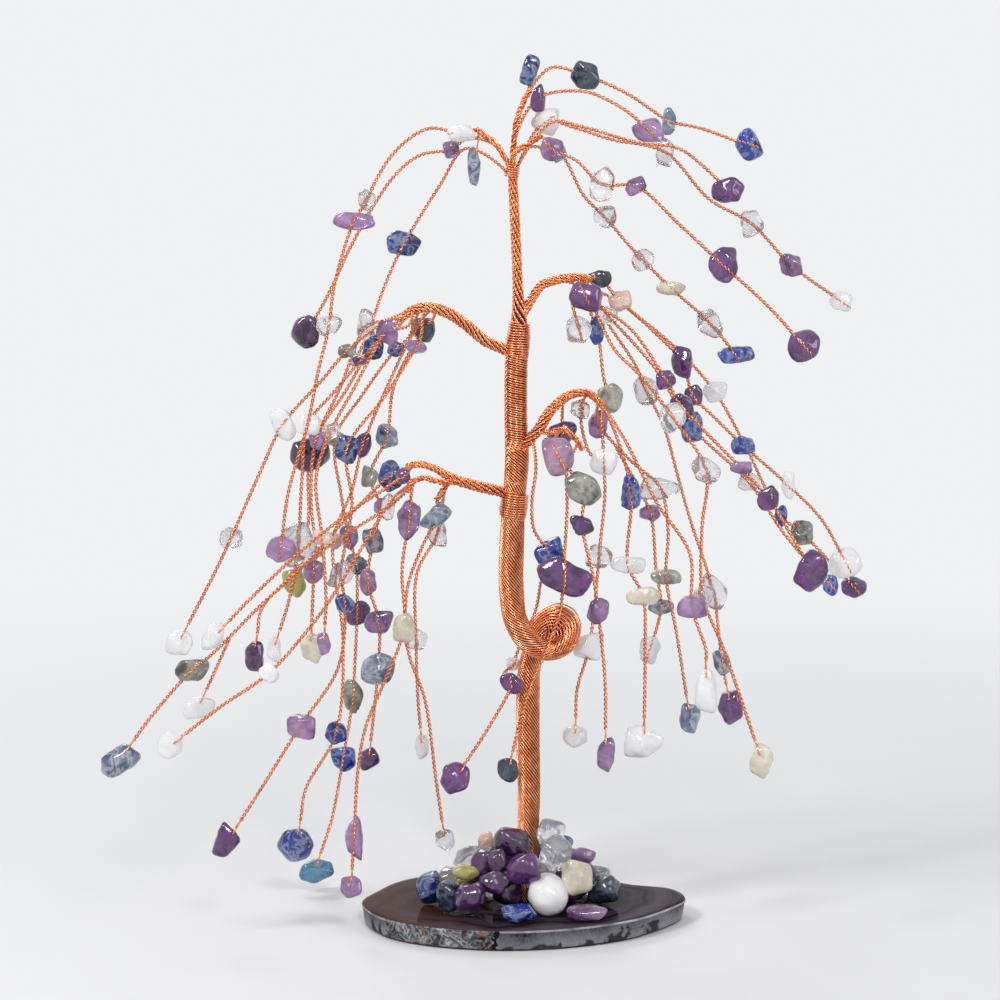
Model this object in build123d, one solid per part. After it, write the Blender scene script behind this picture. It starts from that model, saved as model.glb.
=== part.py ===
from build123d import *
import os
from math import atan2, cos, pi, radians, sin, sqrt

# Gemstone tree ornament: copper wires twisted into a trunk, boughs and strands, drilled
# stone chips on the strands, and an agate slice with a glued heap of chips as its base.
# Millimetres, +Z up, origin at the centre of the slice's flat underside, front towards -Y.

# The square view that places are marked in, as seen from the front
view_span = 300.0
eye_distance = 950.0
eye_height = 251.5
aim_height = 129.5
view_share = 1000
base_across_share = 524.5
foot_rise = 15.6
foot_mark = (528, 850, 0)

# Wire and strands
wire_radius = 0.25
strand_radius = 0.5
fan_depth_share = 1.5
strand_sides = 4
eye_sides = 4
seat_gap = 0.2
bough_gap = 0.5

# Trunk and boughs
bundle_sides = 12
trunk_sections = 38
trunk_tries = 400
bough_sections = 8
shoot_sections = 6
shoot_sides = 10
shoot_radius = 1.05
shoot_gap = 0.7
twig_circle_radius = 1.35

# Bindings
binding_wire_radius = 0.32
binding_sides = 4
binding_tries = 24

# Agate slice
slice_width = 99.0
slice_depth = 71.0
slice_thickness = 6.5
slice_taper = 1.6
slice_edge = 0.7

# Chips
chip_corners = 10
chip_least_thickness = 3.6
chip_thickness_share = 0.62
chip_wobble_share = 0.3
chip_square_share = 0.8
chip_turn_step = 1.7
chip_wobble_step = 2.1
chip_wobble_kinds = 5
hole_clearance = 0.2

# Hanging end stones
pin_inset = 1.9
pin_clearance = 0.25
eye_rise = 2.0
eye_reach_gap = 0.35
swing_limit = 20.0

# The heap at the trunk's foot
heap_gap = 0.15
heap_settle_share = 0.8
heap_size_share = 1.2

mark = view_span / view_share


def seen(across, down, back):
    """The point seen at a mark of the view, at a depth behind the trunk."""
    drop = eye_height - aim_height
    reach = sqrt(eye_distance**2 + drop**2)
    pitch = atan2(drop, eye_distance)
    side = (across - view_share / 2) * mark / reach
    rise = (view_share / 2 - down) * mark / reach
    run = (eye_distance + back * mark) / (cos(pitch) + rise * sin(pitch))
    eye_x = (view_share / 2 - base_across_share) * mark
    high = eye_height + run * (rise * cos(pitch) - sin(pitch))
    return Vector(eye_x + side * run, back * mark, high)


def place(across, down, back):
    """The seen point, with the whole tree lifted so that its lowest mark stands over the slice."""
    lift = slice_thickness + foot_rise - seen(*foot_mark).Z
    return seen(across, down, back) + Vector(0, 0, lift)


# Bundles of wires: trunk, boughs and twigs


class Bundle:
    """A many-sided bundle of wires on a smooth line, its radius changing from stop to stop."""

    def __init__(self, stops, radii, sections):
        self.line = Spline(*stops)
        self.radii = radii
        self.sections = sections
        self.shares = [self.line.param_at_point(stop) for stop in stops]

    def radius(self, share):
        for low in range(len(self.shares) - 1):
            if share <= self.shares[low + 1]:
                break
        span = self.shares[low + 1] - self.shares[low]
        part = (share - self.shares[low]) / span
        return self.radii[low] + (self.radii[low + 1] - self.radii[low]) * part

    def solid(self):
        rings = []
        side = Vector(1, 0, 0)
        for step in range(self.sections + 1):
            share = step / self.sections
            heading = self.line.tangent_at(share)
            side = (side - heading * side.dot(heading)).normalized()
            plane = Plane(self.line.position_at(share), x_dir=side, z_dir=heading)
            corners = []
            for corner in range(bundle_sides):
                turn = 2 * pi * corner / bundle_sides
                spot = Vector(self.radius(share) * cos(turn), self.radius(share) * sin(turn), 0)
                corners.append(plane.from_local_coords(spot))
            rings.append(Wire.make_polygon(corners))
        return Solid.make_loft(rings, ruled=True)

    def leave(self, share, toward):
        """Where a strand starts beside the bundle, on the side that faces its next point."""
        spot = self.line.position_at(share)
        heading = self.line.tangent_at(share)
        outward = toward - spot
        outward = (outward - heading * outward.dot(heading)).normalized()
        return spot + outward * (self.radius(share) + strand_radius + seat_gap)


trunk_shares = [
    (528, 850, 0, 10.5),
    (529, 790, 0, 11.5),
    (528, 740, 0, 12.0),
    (528, 696, 3, 12.0),
    (529, 671, 9, 11.5),
    (533, 652, 13, 11.5),
    (539, 633, 13, 11.5),
    (546, 619, 9, 12.0),
    (557, 613, 4, 12.0),
    (568, 618, -1, 12.0),
    (572, 631, -6, 12.0),
    (568, 644, -10, 12.0),
    (556, 650, -13, 12.0),
    (540, 648, -15, 12.0),
    (525, 637, -12, 12.0),
    (515, 618, -5, 12.0),
    (512, 597, -1, 12.5),
    (511, 575, 0, 12.5),
    (512, 540, 0, 12.5),
    (514, 500, 0, 11.5),
    (517, 460, 0, 12.0),
    (516, 420, 0, 11.5),
    (516, 380, 0, 11.5),
    (517, 350, 0, 11.0),
    (519, 322, 0, 8.5),
    (518, 290, 0, 5.8),
    (515, 220, 0, 5.4),
    (512, 165, 0, 5.0),
]

# Boughs, each seated on the trunk or on the binding that holds it there
bough_seats = {"upper_left_bough": "upper", "lower_left_bough": "lower"}
bough_shares = {
    "upper_left_bough": [
        (505, 352, -4, 6.0),
        (484, 340, -8, 6.0),
        (465, 324, -10, 6.0),
        (446, 312, -12, 6.0),
        (427, 307, -10, 5.5),
        (411, 311, -8, 5.0),
        (402, 318, -6, 4.5),
    ],
    "lower_left_bough": [
        (499, 494, -6, 6.0),
        (477, 486, -12, 6.0),
        (460, 481, -14, 5.5),
        (448, 476, -15, 5.0),
        (434, 468, -16, 4.0),
        (418, 464, -16, 4.0),
        (406, 467, -16, 3.5),
    ],
    "upper_right_bough": [
        (526, 314, 0, 5.0),
        (533, 297, -1, 5.0),
        (542, 285, -2, 5.0),
        (556, 280, -3, 5.0),
        (576, 277, -4, 4.5),
        (591, 279, -4, 4.0),
    ],
    "middle_right_bough": [
        (529, 446, -8, 6.0),
        (538, 430, -12, 6.0),
        (551, 410, -14, 5.5),
        (570, 395, -14, 5.0),
        (588, 393, -12, 4.5),
        (603, 405, -10, 4.0),
    ],
}

# Smaller shoots, each seated on the bundle that it leaves
shoot_shares = {
    "lower_fork": ("lower_left_bough", 0.48, [
        (440, 482, -24), (424, 478, -28), (412, 482, -32), (407, 492, -36)]),
    "side_shoot": ("lower_left_bough", 0.38, [(449, 482, -4), (443, 490, -3), (436, 500, -2)]),
    "second_bough": ("middle_right_bough", 0.22, [
        (551, 432, -26), (562, 429, -28), (574, 437, -28), (583, 450, -28)]),
    "left_twig": ("trunk", 1.0, [(500, 150, 0), (495, 143, 0), (476, 129, 0)]),
    "right_twig": ("trunk", 1.0, [(514, 142, 8), (517, 120, 6), (524, 101, 6), (531, 88, 6)]),
    "low_right_twig": ("trunk", 1.0, [(516, 152, -8), (530, 143, -4), (541, 135, -4)]),
}

# Strands: the bundle or strand that each leaves, how far along it, and its stops.
# A stop is across, down and back in the view, and a stone's kind, width, height and lean.
strand_shares = {
    "crown_left": {
        "crown_long": ("left_twig", 1.0, [
            (461, 133, -13, "quartz", 28, 17, 0), (430, 128, -10), (410, 138, -13), (392, 155, -16),
            (376, 180, -19),
            (367, 200, -21, "quartz", 17, 22, 0), (354, 221, -23, "amethyst", 42, 18, 0), (334, 287, -30),
            (329, 326, -34, "quartz", 26, 20, 0), (318, 372, -40), (308, 423, -46), (288, 494, -54),
            (281, 549, -60, "amethyst", 30, 26, 0)]),
        "crown_short": ("left_twig", 0.75, [
            (468, 138, 16), (451, 149, 14, "amethyst", 17, 19, 0), (420, 155, 10), (396, 174, 6),
            (374, 205, 4), (350, 248, 0),
            (328, 295, -6), (307, 332, -10, "amethyst", 28, 33, 20)]),
        "crown_back": ("left_twig", 0.4, [
            (466, 148, 18), (440, 185, 24), (413, 228, 30), (404, 243, 32, "lapis", 35, 26, 0),
            (385, 285, 40),
            (370, 327, 48), (356, 360, 54, "quartz", 15, 15, 0)]),
        "crown_sliver": ("left_twig", 0.95, [
            (474, 166, 0, "lapis", 13, 40, 0)], "hangs"),
    },
    "crown_right": {
        "top_stone": ("right_twig", 1.0, [(530, 78, 4), (530, 70, 3, "lapis", 18, 30, 10)]),
        "top_high": ("right_twig", 0.9, [
            (540, 76, 14), (553, 67, 16), (585, 75, 18, "lapis", 29, 29, 0), (628, 94, 22), (652, 110, 25),
            (669, 121, 27, "lapis", 14, 28, 0), (700, 128, 30), (747, 145, 34, "lapis", 24, 32, -20)]),
        "top_low": ("right_twig", 0.62, [
            (538, 98, -8, "amethyst", 15, 28, 0), (582, 91, -14), (610, 101, -18), (632, 115, -22),
            (648, 130, -25, "amethyst", 32, 24, 0)]),
        "middle_high": ("right_twig", 0.3, [
            (545, 122, 14, "quartz", 28, 28, 0), (576, 128, 17), (610, 139, 20),
            (665, 152, 26, "quartz", 19, 30, 0),
            (709, 199, 34), (752, 224, 40, "quartz", 24, 28, 0), (791, 265, 46, "amethyst", 24, 24, 0),
            (841, 301, 52, "quartz", 25, 22, 0)]),
        "middle_branch": ("low_right_twig", 0.45, [
            (552, 122, -10), (580, 126, -10), (640, 143, -6), (678, 148, -4), (702, 165, -2),
            (728, 190, 0, "amethyst", 33, 26, 0)]),
        "long_front": ("low_right_twig", 1.0, [
            (552, 149, -11, "amethyst", 24, 24, 0), (576, 160, -12), (602, 184, -13, "quartz", 25, 35, 0),
            (636, 186, -16, "amethyst", 21, 20, 0), (679, 224, -22), (723, 265, -28, "amethyst", 29, 36, 0),
            (768, 306, -35), (804, 346, -41, "amethyst", 32, 32, 0)]),
        "long_back": ("low_right_twig", 0.8, [
            (560, 154, 10, "mixed", 14, 18, 0), (584, 196, 14), (605, 217, 17, "quartz", 23, 23, 0),
            (628, 244, 20),
            (643, 260, 22, "quartz", 23, 23, 0), (671, 288, 26, "mixed", 30, 15, 0),
            (710, 323, 32, "quartz", 27, 30, 0),
            (736, 355, 37, "lapis", 38, 18, 0)]),
    },
    "upper_left": {
        "ul_far": ("upper_left_bough", 1.0, [
            (385, 322, -12), (347, 351, -30, "mixed", 18, 14, 0), (322, 380, -34),
            (283, 424, -42, "quartz", 26, 33, 0),
            (261, 470, -48), (231, 538, -56, "quartz", 23, 21, 0), (214, 574, -60),
            (179, 642, -68, "quartz", 27, 26, 0)], "hangs"),
        "ul_white": ("upper_left_bough", 0.97, [
            (382, 338, -14), (361, 360, -16, "amethyst", 18, 12, 0), (334, 392, -18),
            (308, 424, -20, "quartz", 26, 22, 0),
            (302, 478, -26), (298, 545, -34, "quartz", 35, 45, 0), (289, 600, -40),
            (274, 649, -45, "quartz", 14, 27, 0)], "hangs"),
        "ul_pink": ("upper_left_bough", 0.93, [
            (390, 336, 4), (373, 347, 6, "lapis", 22, 26, 0), (345, 392, 6),
            (317, 437, 6, "mixed", 17, 25, 0),
            (311, 500, 2), (316, 552, -2, "quartz", 15, 12, 0), (314, 572, -4, "amethyst", 22, 24, 0),
            (311, 648, -14, "mixed", 22, 31, 0)], "hangs"),
        "ul_dark": ("upper_left_bough", 0.89, [
            (386, 320, 18), (366, 327, 24, "quartz", 18, 38, 0), (340, 388, 26),
            (310, 455, 28, "amethyst", 41, 35, 0),
            (308, 525, 26), (294, 583, 24, "mixed", 25, 30, 0)]),
        "ul_lilac": ("upper_left_bough", 0.86, [
            (408, 326, -26), (387, 333, -36, "amethyst", 22, 26, 0), (352, 392, -40),
            (331, 431, -44, "quartz", 18, 20, 0),
            (316, 478, -50), (322, 537, -56, "mixed", 20, 16, 0), (326, 600, -62),
            (324, 644, -65, "amethyst", 14, 23, 0)], "hangs"),
        "ul_bar": ("upper_left_bough", 0.82, [
            (408, 338, 18), (396, 349, 22, "lapis", 18, 16, 0), (362, 395, 34),
            (335, 439, 46, "mixed", 20, 16, 0),
            (341, 494, 50), (349, 537, 52, "amethyst", 20, 26, 0), (356, 564, 54, "lapis", 24, 22, 0),
            (357, 613, 56, "amethyst", 28, 28, 0), (355, 660, 58), (353, 696, 60, "mixed", 22, 36, 0),
            (343, 759, 64, "lapis", 27, 27, 0),
            (332, 818, 70), (315, 871, 75, "lapis", 38, 24, -15)], "hangs"),
        "ul_blue": ("upper_left_bough", 0.78, [
            (421, 336, -20), (416, 347, -18, "amethyst", 22, 14, 0), (385, 396, -12),
            (347, 449, -8, "lapis", 25, 30, 0),
            (352, 504, -10), (341, 574, -16, "quartz", 28, 26, 0), (345, 604, -20, "lapis", 20, 20, 0),
            (338, 668, -26),
            (300, 726, -32, "amethyst", 30, 25, 20), (264, 784, -38),
            (228, 840, -43, "amethyst", 24, 34, 15)], "hangs"),
        "ul_violet": ("upper_left_bough", 0.73, [
            (415, 330, 6), (392, 376, 14), (363, 445, 22, "amethyst", 18, 26, 0), (352, 490, 26),
            (333, 541, 30, "mixed", 18, 18, 0),
            (343, 640, 34), (336, 733, 38, "lapis", 23, 24, 0), (306, 788, 42),
            (296, 845, 45, "lapis", 35, 40, 20)], "hangs"),
        "ul_near": ("upper_left_bough", 0.68, [
            (432, 320, 20), (423, 330, 30, "mixed", 25, 26, 0), (394, 386, 22),
            (387, 436, 10, "mixed", 23, 26, 0), (370, 476, 4, "mixed", 18, 22, 0),
            (380, 507, 8, "amethyst", 13, 20, 0), (373, 541, 10, "mixed", 22, 26, 0),
            (368, 582, 10, "amethyst", 18, 28, 0),
            (379, 622, 8, "amethyst", 30, 24, 0), (378, 669, 6, "mixed", 35, 34, 0),
            (369, 759, 1, "amethyst", 22, 24, 0)], "hangs"),
    },
    "lower_left": {
        "ll_blue": ("lower_left_bough", 1.0, [
            (390, 476, -20, "lapis", 24, 32, 0), (345, 520, -38), (300, 570, -56), (262, 604, -62),
            (211, 655, -68),
            (192, 670, -70, "mixed", 34, 22, 0), (150, 718, -76),
            (119, 760, -80, "mixed", 43, 28, -20)], "hangs"),
        "ll_oval": ("lower_left_bough", 0.92, [
            (404, 476, -40, "amethyst", 13, 16, 0), (350, 512, -60), (300, 552, -72), (249, 600, -84),
            (214, 636, -92, "quartz", 21, 30, 20)], "hangs"),
        "ll_drop": ("lower_fork", 1.0, [
            (388, 507, -36, "quartz", 14, 28, 0), (330, 545, -24), (285, 582, -16), (261, 610, -12),
            (254, 655, -10, "amethyst", 20, 31, 10)], "hangs"),
        "ll_round": ("lower_fork", 0.9, [
            (392, 500, -52), (376, 524, -58), (330, 600, -72), (306, 632, -78),
            (269, 673, -84, "quartz", 20, 21, 0), (220, 707, -92),
            (170, 745, -99, "quartz", 24, 26, 0)], "hangs"),
        "ll_branch": ("ll_blue", 0.66, [(199, 706, -56, "quartz", 33, 21, -10)], "hangs"),
        "ll_long": ("lower_fork", 0.8, [
            (409, 520, -20, "amethyst", 24, 40, 0), (402, 570, -22),
            (404, 628, -26, "mixed", 22, 30, 0), (386, 678, -30),
            (366, 726, -34), (358, 769, -36), (354, 838, -42, "amethyst", 18, 46, 0),
            (351, 887, -46, "amethyst", 22, 22, 0)], "hangs"),
        "ll_bar": ("side_shoot", 1.0, [
            (437, 517, -4, "lapis", 20, 36, 45), (423, 545, -8), (407, 590, -10), (408, 650, -10),
            (425, 700, -8),
            (436, 780, -6), (445, 840, -6, "quartz", 20, 24, 0)], "hangs"),
        "ll_clear": ("side_shoot", 0.7, [
            (437, 534, 12, "quartz", 20, 26, 0), (417, 573, 16), (416, 639, 18, "quartz", 24, 22, 0),
            (418, 700, 20),
            (422, 747, 20, "quartz", 14, 26, 0)], "hangs"),
    },
    "upper_right": {
        "ur_far": ("upper_right_bough", 1.0, [
            (600, 279, 8, "lapis", 24, 18, 0), (620, 301, 12, "quartz", 24, 22, 0), (652, 330, 16),
            (682, 362, 20, "amethyst", 22, 34, 0), (693, 395, 24, "amethyst", 20, 22, 0), (715, 418, 28),
            (743, 445, 32, "lapis", 25, 20, 0), (788, 485, 38, "quartz", 14, 30, 0), (822, 520, 44),
            (846, 563, 50, "quartz", 36, 32, 0)]),
        "ur_front": ("upper_right_bough", 0.95, [
            (586, 297, -24, "amethyst", 34, 30, 0), (630, 328, -23), (666, 380, -26, "amethyst", 20, 20, 0),
            (682, 406, -28, "amethyst", 24, 26, 0), (741, 468, -36, "amethyst", 22, 14, 0),
            (768, 498, -40, "amethyst", 22, 26, 0),
            (797, 545, -46), (812, 571, -49, "amethyst", 30, 40, 20)]),
        "ur_mid": ("upper_right_bough", 0.88, [
            (608, 315, -2, "quartz", 20, 18, 0), (655, 368, -4), (692, 427, -6, "lapis", 22, 32, 0),
            (749, 482, -10, "quartz", 22, 18, 0),
            (786, 536, -14), (830, 585, -18, "lapis", 17, 22, 0)]),
        "ur_clear": ("upper_right_bough", 0.8, [(572, 300, -8), (579, 329, -14, "quartz", 26, 28, 0)]),
        "ur_grey": ("upper_right_bough", 0.72, [
            (584, 300, 12), (597, 330, 14, "lapis", 16, 30, 0), (604, 379, 14),
            (610, 398, 12, "mixed", 26, 31, 0)]),
        "ur_back": ("upper_right_bough", 0.9, [
            (607, 322, 26), (636, 366, 34), (646, 390, 38, "quartz", 26, 31, 0), (664, 427, 44),
            (678, 477, 52), (690, 519, 58),
            (713, 592, 66, "quartz", 30, 38, 0), (722, 662, 72, "mixed", 20, 28, 0),
            (731, 708, 75, "amethyst", 27, 36, -10)], "hangs"),
        "ur_drop": ("upper_right_bough", 0.84, [
            (615, 350, -36), (640, 375, -44), (673, 418, -52, "quartz", 26, 30, 0),
            (706, 470, -58, "quartz", 29, 28, 0),
            (702, 528, -62), (703, 596, -54, "quartz", 20, 20, 0), (724, 650, -60),
            (762, 761, -82, "quartz", 22, 34, 10)], "hangs"),
        "ur_cream": ("upper_right_bough", 0.6, [
            (612, 298, 34), (645, 322, 40), (680, 352, 44), (715, 392, 52, "quartz", 25, 22, 0),
            (745, 445, 58), (781, 516, 64, "lapis", 14, 24, 0),
            (802, 533, 66, "mixed", 24, 26, 0), (854, 587, 72, "amethyst", 27, 22, 0)]),
    },
    "middle_right": {
        "mr_bell": ("middle_right_bough", 0.12, [
            (536, 468, -30), (532, 500, -26), (534, 530, -20), (549, 553, -10, "lapis", 30, 34, 0),
            (541, 580, 12), (535, 612, 24), (520, 645, 24),
            (513, 664, 19, "quartz", 16, 14, 0), (504, 674, 3),
            (512, 683, -13, "amethyst", 26, 20, 30), (487, 730, -20),
            (455, 778, -25, "amethyst", 30, 32, 0)], "hangs"),
        "mr_flat": ("second_bough", 0.85, [
            (567, 467, -44), (567, 508, -44), (563, 576, -34, "amethyst", 54, 32, 25), (560, 610, -26),
            (547, 647, -24),
            (528, 692, -14), (508, 770, -14, "lapis", 22, 26, 0)], "hangs"),
        "mr_hex": ("second_bough", 0.5, [
            (555, 440, -42), (558, 457, -54, "amethyst", 32, 38, 0),
            (583, 488, -60, "mixed", 36, 33, 0), (582, 525, -60, "amethyst", 24, 20, 0),
            (594, 580, -58),
            (598, 611, -58, "quartz", 22, 26, 0), (605, 680, -56),
            (606, 755, -54, "amethyst", 18, 36, 0)], "hangs"),
        "mr_clear": ("middle_right_bough", 0.8, [
            (580, 409, 4, "quartz", 20, 20, 0), (588, 450, 8), (603, 470, 10),
            (599, 556, 12, "quartz", 28, 24, 0), (589, 647, 14, "quartz", 32, 30, 0),
            (577, 690, 16), (575, 736, 16, "quartz", 25, 23, 0)], "hangs"),
        "mr_dark": ("middle_right_bough", 0.55, [
            (562, 418, 2), (562, 433, 3, "amethyst", 30, 24, 0), (551, 446, 17, "lapis", 16, 16, 0)]),
        "mr_white": ("middle_right_bough", 1.0, [(602, 422, -22), (604, 462, -30, "quartz", 28, 26, 0)]),
        "mr_bow": ("middle_right_bough", 0.97, [
            (612, 425, -4), (631, 492, -12, "lapis", 20, 36, 0), (628, 565, -20, "quartz", 36, 18, 0),
            (643, 596, -22, "mixed", 34, 20, 0),
            (645, 650, -24), (644, 741, -26, "quartz", 40, 33, 0)], "hangs"),
        "mr_grey": ("middle_right_bough", 0.92, [
            (598, 424, 26, "amethyst", 20, 30, 0), (630, 460, 26), (660, 488, 24, "quartz", 44, 24, 0),
            (668, 530, 24), (666, 577, 24, "mixed", 32, 16, 0),
            (676, 630, 24), (690, 718, 24, "lapis", 22, 32, 0)], "hangs"),
        "mr_short": ("mr_grey", 0.265, [
            (650, 513, 40, "amethyst", 22, 18, 0), (656, 570, 42), (661, 607, 40, "mixed", 27, 16, 0),
            (650, 650, 38, "quartz", 22, 30, 0)]),
        "mr_long": ("middle_right_bough", 0.94, [
            (625, 440, -50), (657, 503, -60), (690, 554, -70), (692, 607, -74, "amethyst", 30, 22, 0),
            (706, 650, -76),
            (706, 691, -76, "quartz", 22, 44, 0)], "hangs"),
    },
}

# The heap: kind, then across and back in the view, and width, height and thickness
heap_shares = [
    ("lapis", 430, -22, 24, 30, 22),
    ("mixed", 450, -44, 24, 26, 22),
    ("amethyst", 470, -64, 26, 22, 24),
    ("amethyst", 494, -60, 26, 22, 24),
    ("lapis", 519, -88, 30, 15, 18),
    ("quartz", 548, -58, 34, 34, 30),
    ("mixed", 577, -50, 26, 30, 24),
    ("lapis", 605, -20, 28, 26, 24),
    ("amethyst", 586, -82, 34, 13, 20),
    ("quartz", 454, 2, 30, 28, 26),
    ("quartz", 472, 40, 28, 26, 28),
    ("lapis", 556, 50, 40, 28, 26),
    ("amethyst", 512, 54, 32, 26, 28),
    ("quartz", 596, 20, 30, 26, 28),
    ("amethyst", 508, -30, 26, 26, 24),
    ("amethyst", 572, -16, 28, 28, 24),
    ("quartz", 494, 8, 30, 26, 26),
    ("quartz", 534, -34, 26, 26, 24),
    ("quartz", 552, 14, 28, 26, 26),
    ("mixed", 470, -24, 28, 22, 24),
    ("amethyst", 486, -36, 28, 30, 24),
    ("quartz", 468, 16, 26, 26, 24),
    ("amethyst", 524, -58, 30, 28, 22),
    ("quartz", 556, -32, 28, 30, 24),
    ("quartz", 578, 8, 26, 28, 24),
    ("quartz", 530, 40, 26, 24, 24),
    ("mixed", 492, -8, 24, 26, 22),
    ("amethyst", 512, -26, 32, 32, 22),
    ("quartz", 551, -10, 26, 26, 22),
    ("mixed", 508, 24, 24, 24, 22),
    ("lapis", 545, 26, 28, 22, 22),
]

# Bindings: across, down and radius at the low end and at the high end, and the turns
binding_shares = {
    "upper": (517, 357, 12.8, 519, 322, 10.6, 8),
    "lower": (513, 518, 14.0, 515, 492, 13.7, 6),
    "top": (512, 178, 6.9, 512, 166, 6.6, 3),
}


def starts(shares):
    return [place(*stop[:3]) for stop in shares]


bundles = {}
foot = Vector(place(*trunk_shares[0][:3]).X, 0, slice_thickness + seat_gap)
trunk_stops = [foot] + starts(trunk_shares)
trunk_radii = [trunk_shares[0][3] * mark] + [stop[3] * mark for stop in trunk_shares]
bundles["trunk"] = Bundle(trunk_stops, trunk_radii, trunk_sections)


def seated(name, stops, carrier, radius):
    """Stops with the first one moved to stand just clear of what carries the bough."""
    tries = [step / trunk_tries for step in range(trunk_tries + 1)]
    share = min(tries, key=lambda share: (carrier.line.position_at(share) - stops[0]).length)
    spot = carrier.line.position_at(share)
    heading = carrier.line.tangent_at(share)
    outward = stops[1] - spot
    outward = (outward - heading * outward.dot(heading)).normalized()
    lean = (stops[1] - spot).normalized().dot(outward)
    girth = carrier.radius(share)
    if name in bough_seats:
        girth = binding_shares[bough_seats[name]][2] * mark + binding_wire_radius
    reach = girth + radius * sqrt(1 - lean**2) + bough_gap
    return [spot + outward * reach] + stops[1:]


for name, shares in bough_shares.items():
    radii = [stop[3] * mark for stop in shares]
    stops = seated(name, starts(shares), bundles["trunk"], radii[0])
    bundles[name] = Bundle(stops, radii, bough_sections)

for name, (carrier, share, shares) in shoot_shares.items():
    stops = starts(shares)
    spot = bundles[carrier].line.position_at(share)
    if share < 1:
        heading = bundles[carrier].line.tangent_at(share)
        outward = stops[0] - spot
        outward = (outward - heading * outward.dot(heading)).normalized()
        low = spot + outward * (bundles[carrier].radius(share) + shoot_gap)
        stops = [low, low + outward * shoot_radius] + stops
    else:
        outward = stops[0] - spot
        outward = Vector(outward.X, outward.Y, 0).normalized() * twig_circle_radius
        low = spot + outward + Vector(0, 0, seat_gap)
        stops = [low, low + Vector(0, 0, shoot_radius)] + stops[1:]
    radii = [shoot_radius] * len(stops)
    bundles[name] = Bundle(stops, radii, shoot_sections)


# Strands: straight runs with mitred corners


def run_of_wire(points, radius, sides):
    """A wire of polygon section along straight runs."""
    heading = (points[1] - points[0]).normalized()
    across = heading.cross(Vector(0, 1, 0))
    if across.length < mark:
        across = Vector(1, 0, 0)
    plane = Plane(points[0], x_dir=across, z_dir=heading)
    corners = []
    for side in range(sides):
        turn = 2 * pi * (side + 0.5) / sides
        corners.append(plane.from_local_coords(Vector(radius * cos(turn), radius * sin(turn), 0)))
    rings = [corners]
    for step in range(1, len(points)):
        into = (points[step] - points[step - 1]).normalized()
        onward = into
        if step < len(points) - 1:
            onward = (points[step + 1] - points[step]).normalized()
        mitre = (into + onward).normalized()
        ring = []
        for corner in rings[-1]:
            ring.append(corner + into * ((points[step] - corner).dot(mitre) / into.dot(mitre)))
        rings.append(ring)
    faces = [Face(Wire.make_polygon(rings[0])), Face(Wire.make_polygon(rings[-1]))]
    for low, high in zip(rings, rings[1:]):
        for side in range(sides):
            after = (side + 1) % sides
            faces.append(Face(Wire.make_polygon([low[side], low[after], high[after], high[side]])))
    return Solid(Shell(faces))


def chip(width, height, thickness, variety):
    """A tumbled chip: a convex many-sided pebble that fills its three sizes."""
    golden = pi * (3 - sqrt(5))
    spots = []
    for corner in range(chip_corners):
        level = 1 - 2 * (corner + 0.5) / chip_corners
        ring = sqrt(1 - level**2)
        turn = golden * corner + variety * chip_turn_step
        wave = sin(corner * (chip_wobble_step + variety % chip_wobble_kinds) + variety)
        shrink = 1 - chip_wobble_share * (1 + wave) / 2
        spot = []
        for value in (ring * cos(turn), ring * sin(turn), level):
            size = abs(value * shrink) ** chip_square_share
            spot.append(size if value > 0 else -size)
        spots.append(spot)
    lows = [min(spot[axis] for spot in spots) for axis in range(3)]
    highs = [max(spot[axis] for spot in spots) for axis in range(3)]
    sizes = (width, thickness, height)
    points = []
    for spot in spots:
        scaled = [sizes[k] * ((spot[k] - lows[k]) / (highs[k] - lows[k]) - 0.5) for k in range(3)]
        points.append(Vector(*scaled))
    return ConvexPolyhedron(points).solid()


def in_fan(stop):
    """A strand's stop in its place, with the fan's own depth."""
    return place(stop[0], stop[1], stop[2] * fan_depth_share)


def chip_thickness(width, height):
    return max(chip_least_thickness, chip_thickness_share * min(width, height))


def chip_reach(stop, way):
    """How far a chip reaches from its middle, one way in the view's plane."""
    lean = radians(stop[6])
    across = (way.X * cos(lean) - way.Z * sin(lean)) / (stop[4] * mark / 2)
    upward = (way.X * sin(lean) + way.Z * cos(lean)) / (stop[5] * mark / 2)
    return 1 / sqrt(across**2 + upward**2)


def stone_on(stop, variety):
    """A chip in its place in the view."""
    width = stop[4] * mark
    height = stop[5] * mark
    body = chip(width, height, chip_thickness(width, height), variety)
    return body.rotate(Axis.Y, stop[6]).translate(in_fan(stop))


def largest(shape):
    return max(shape.solids(), key=lambda solid: solid.volume)


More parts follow.
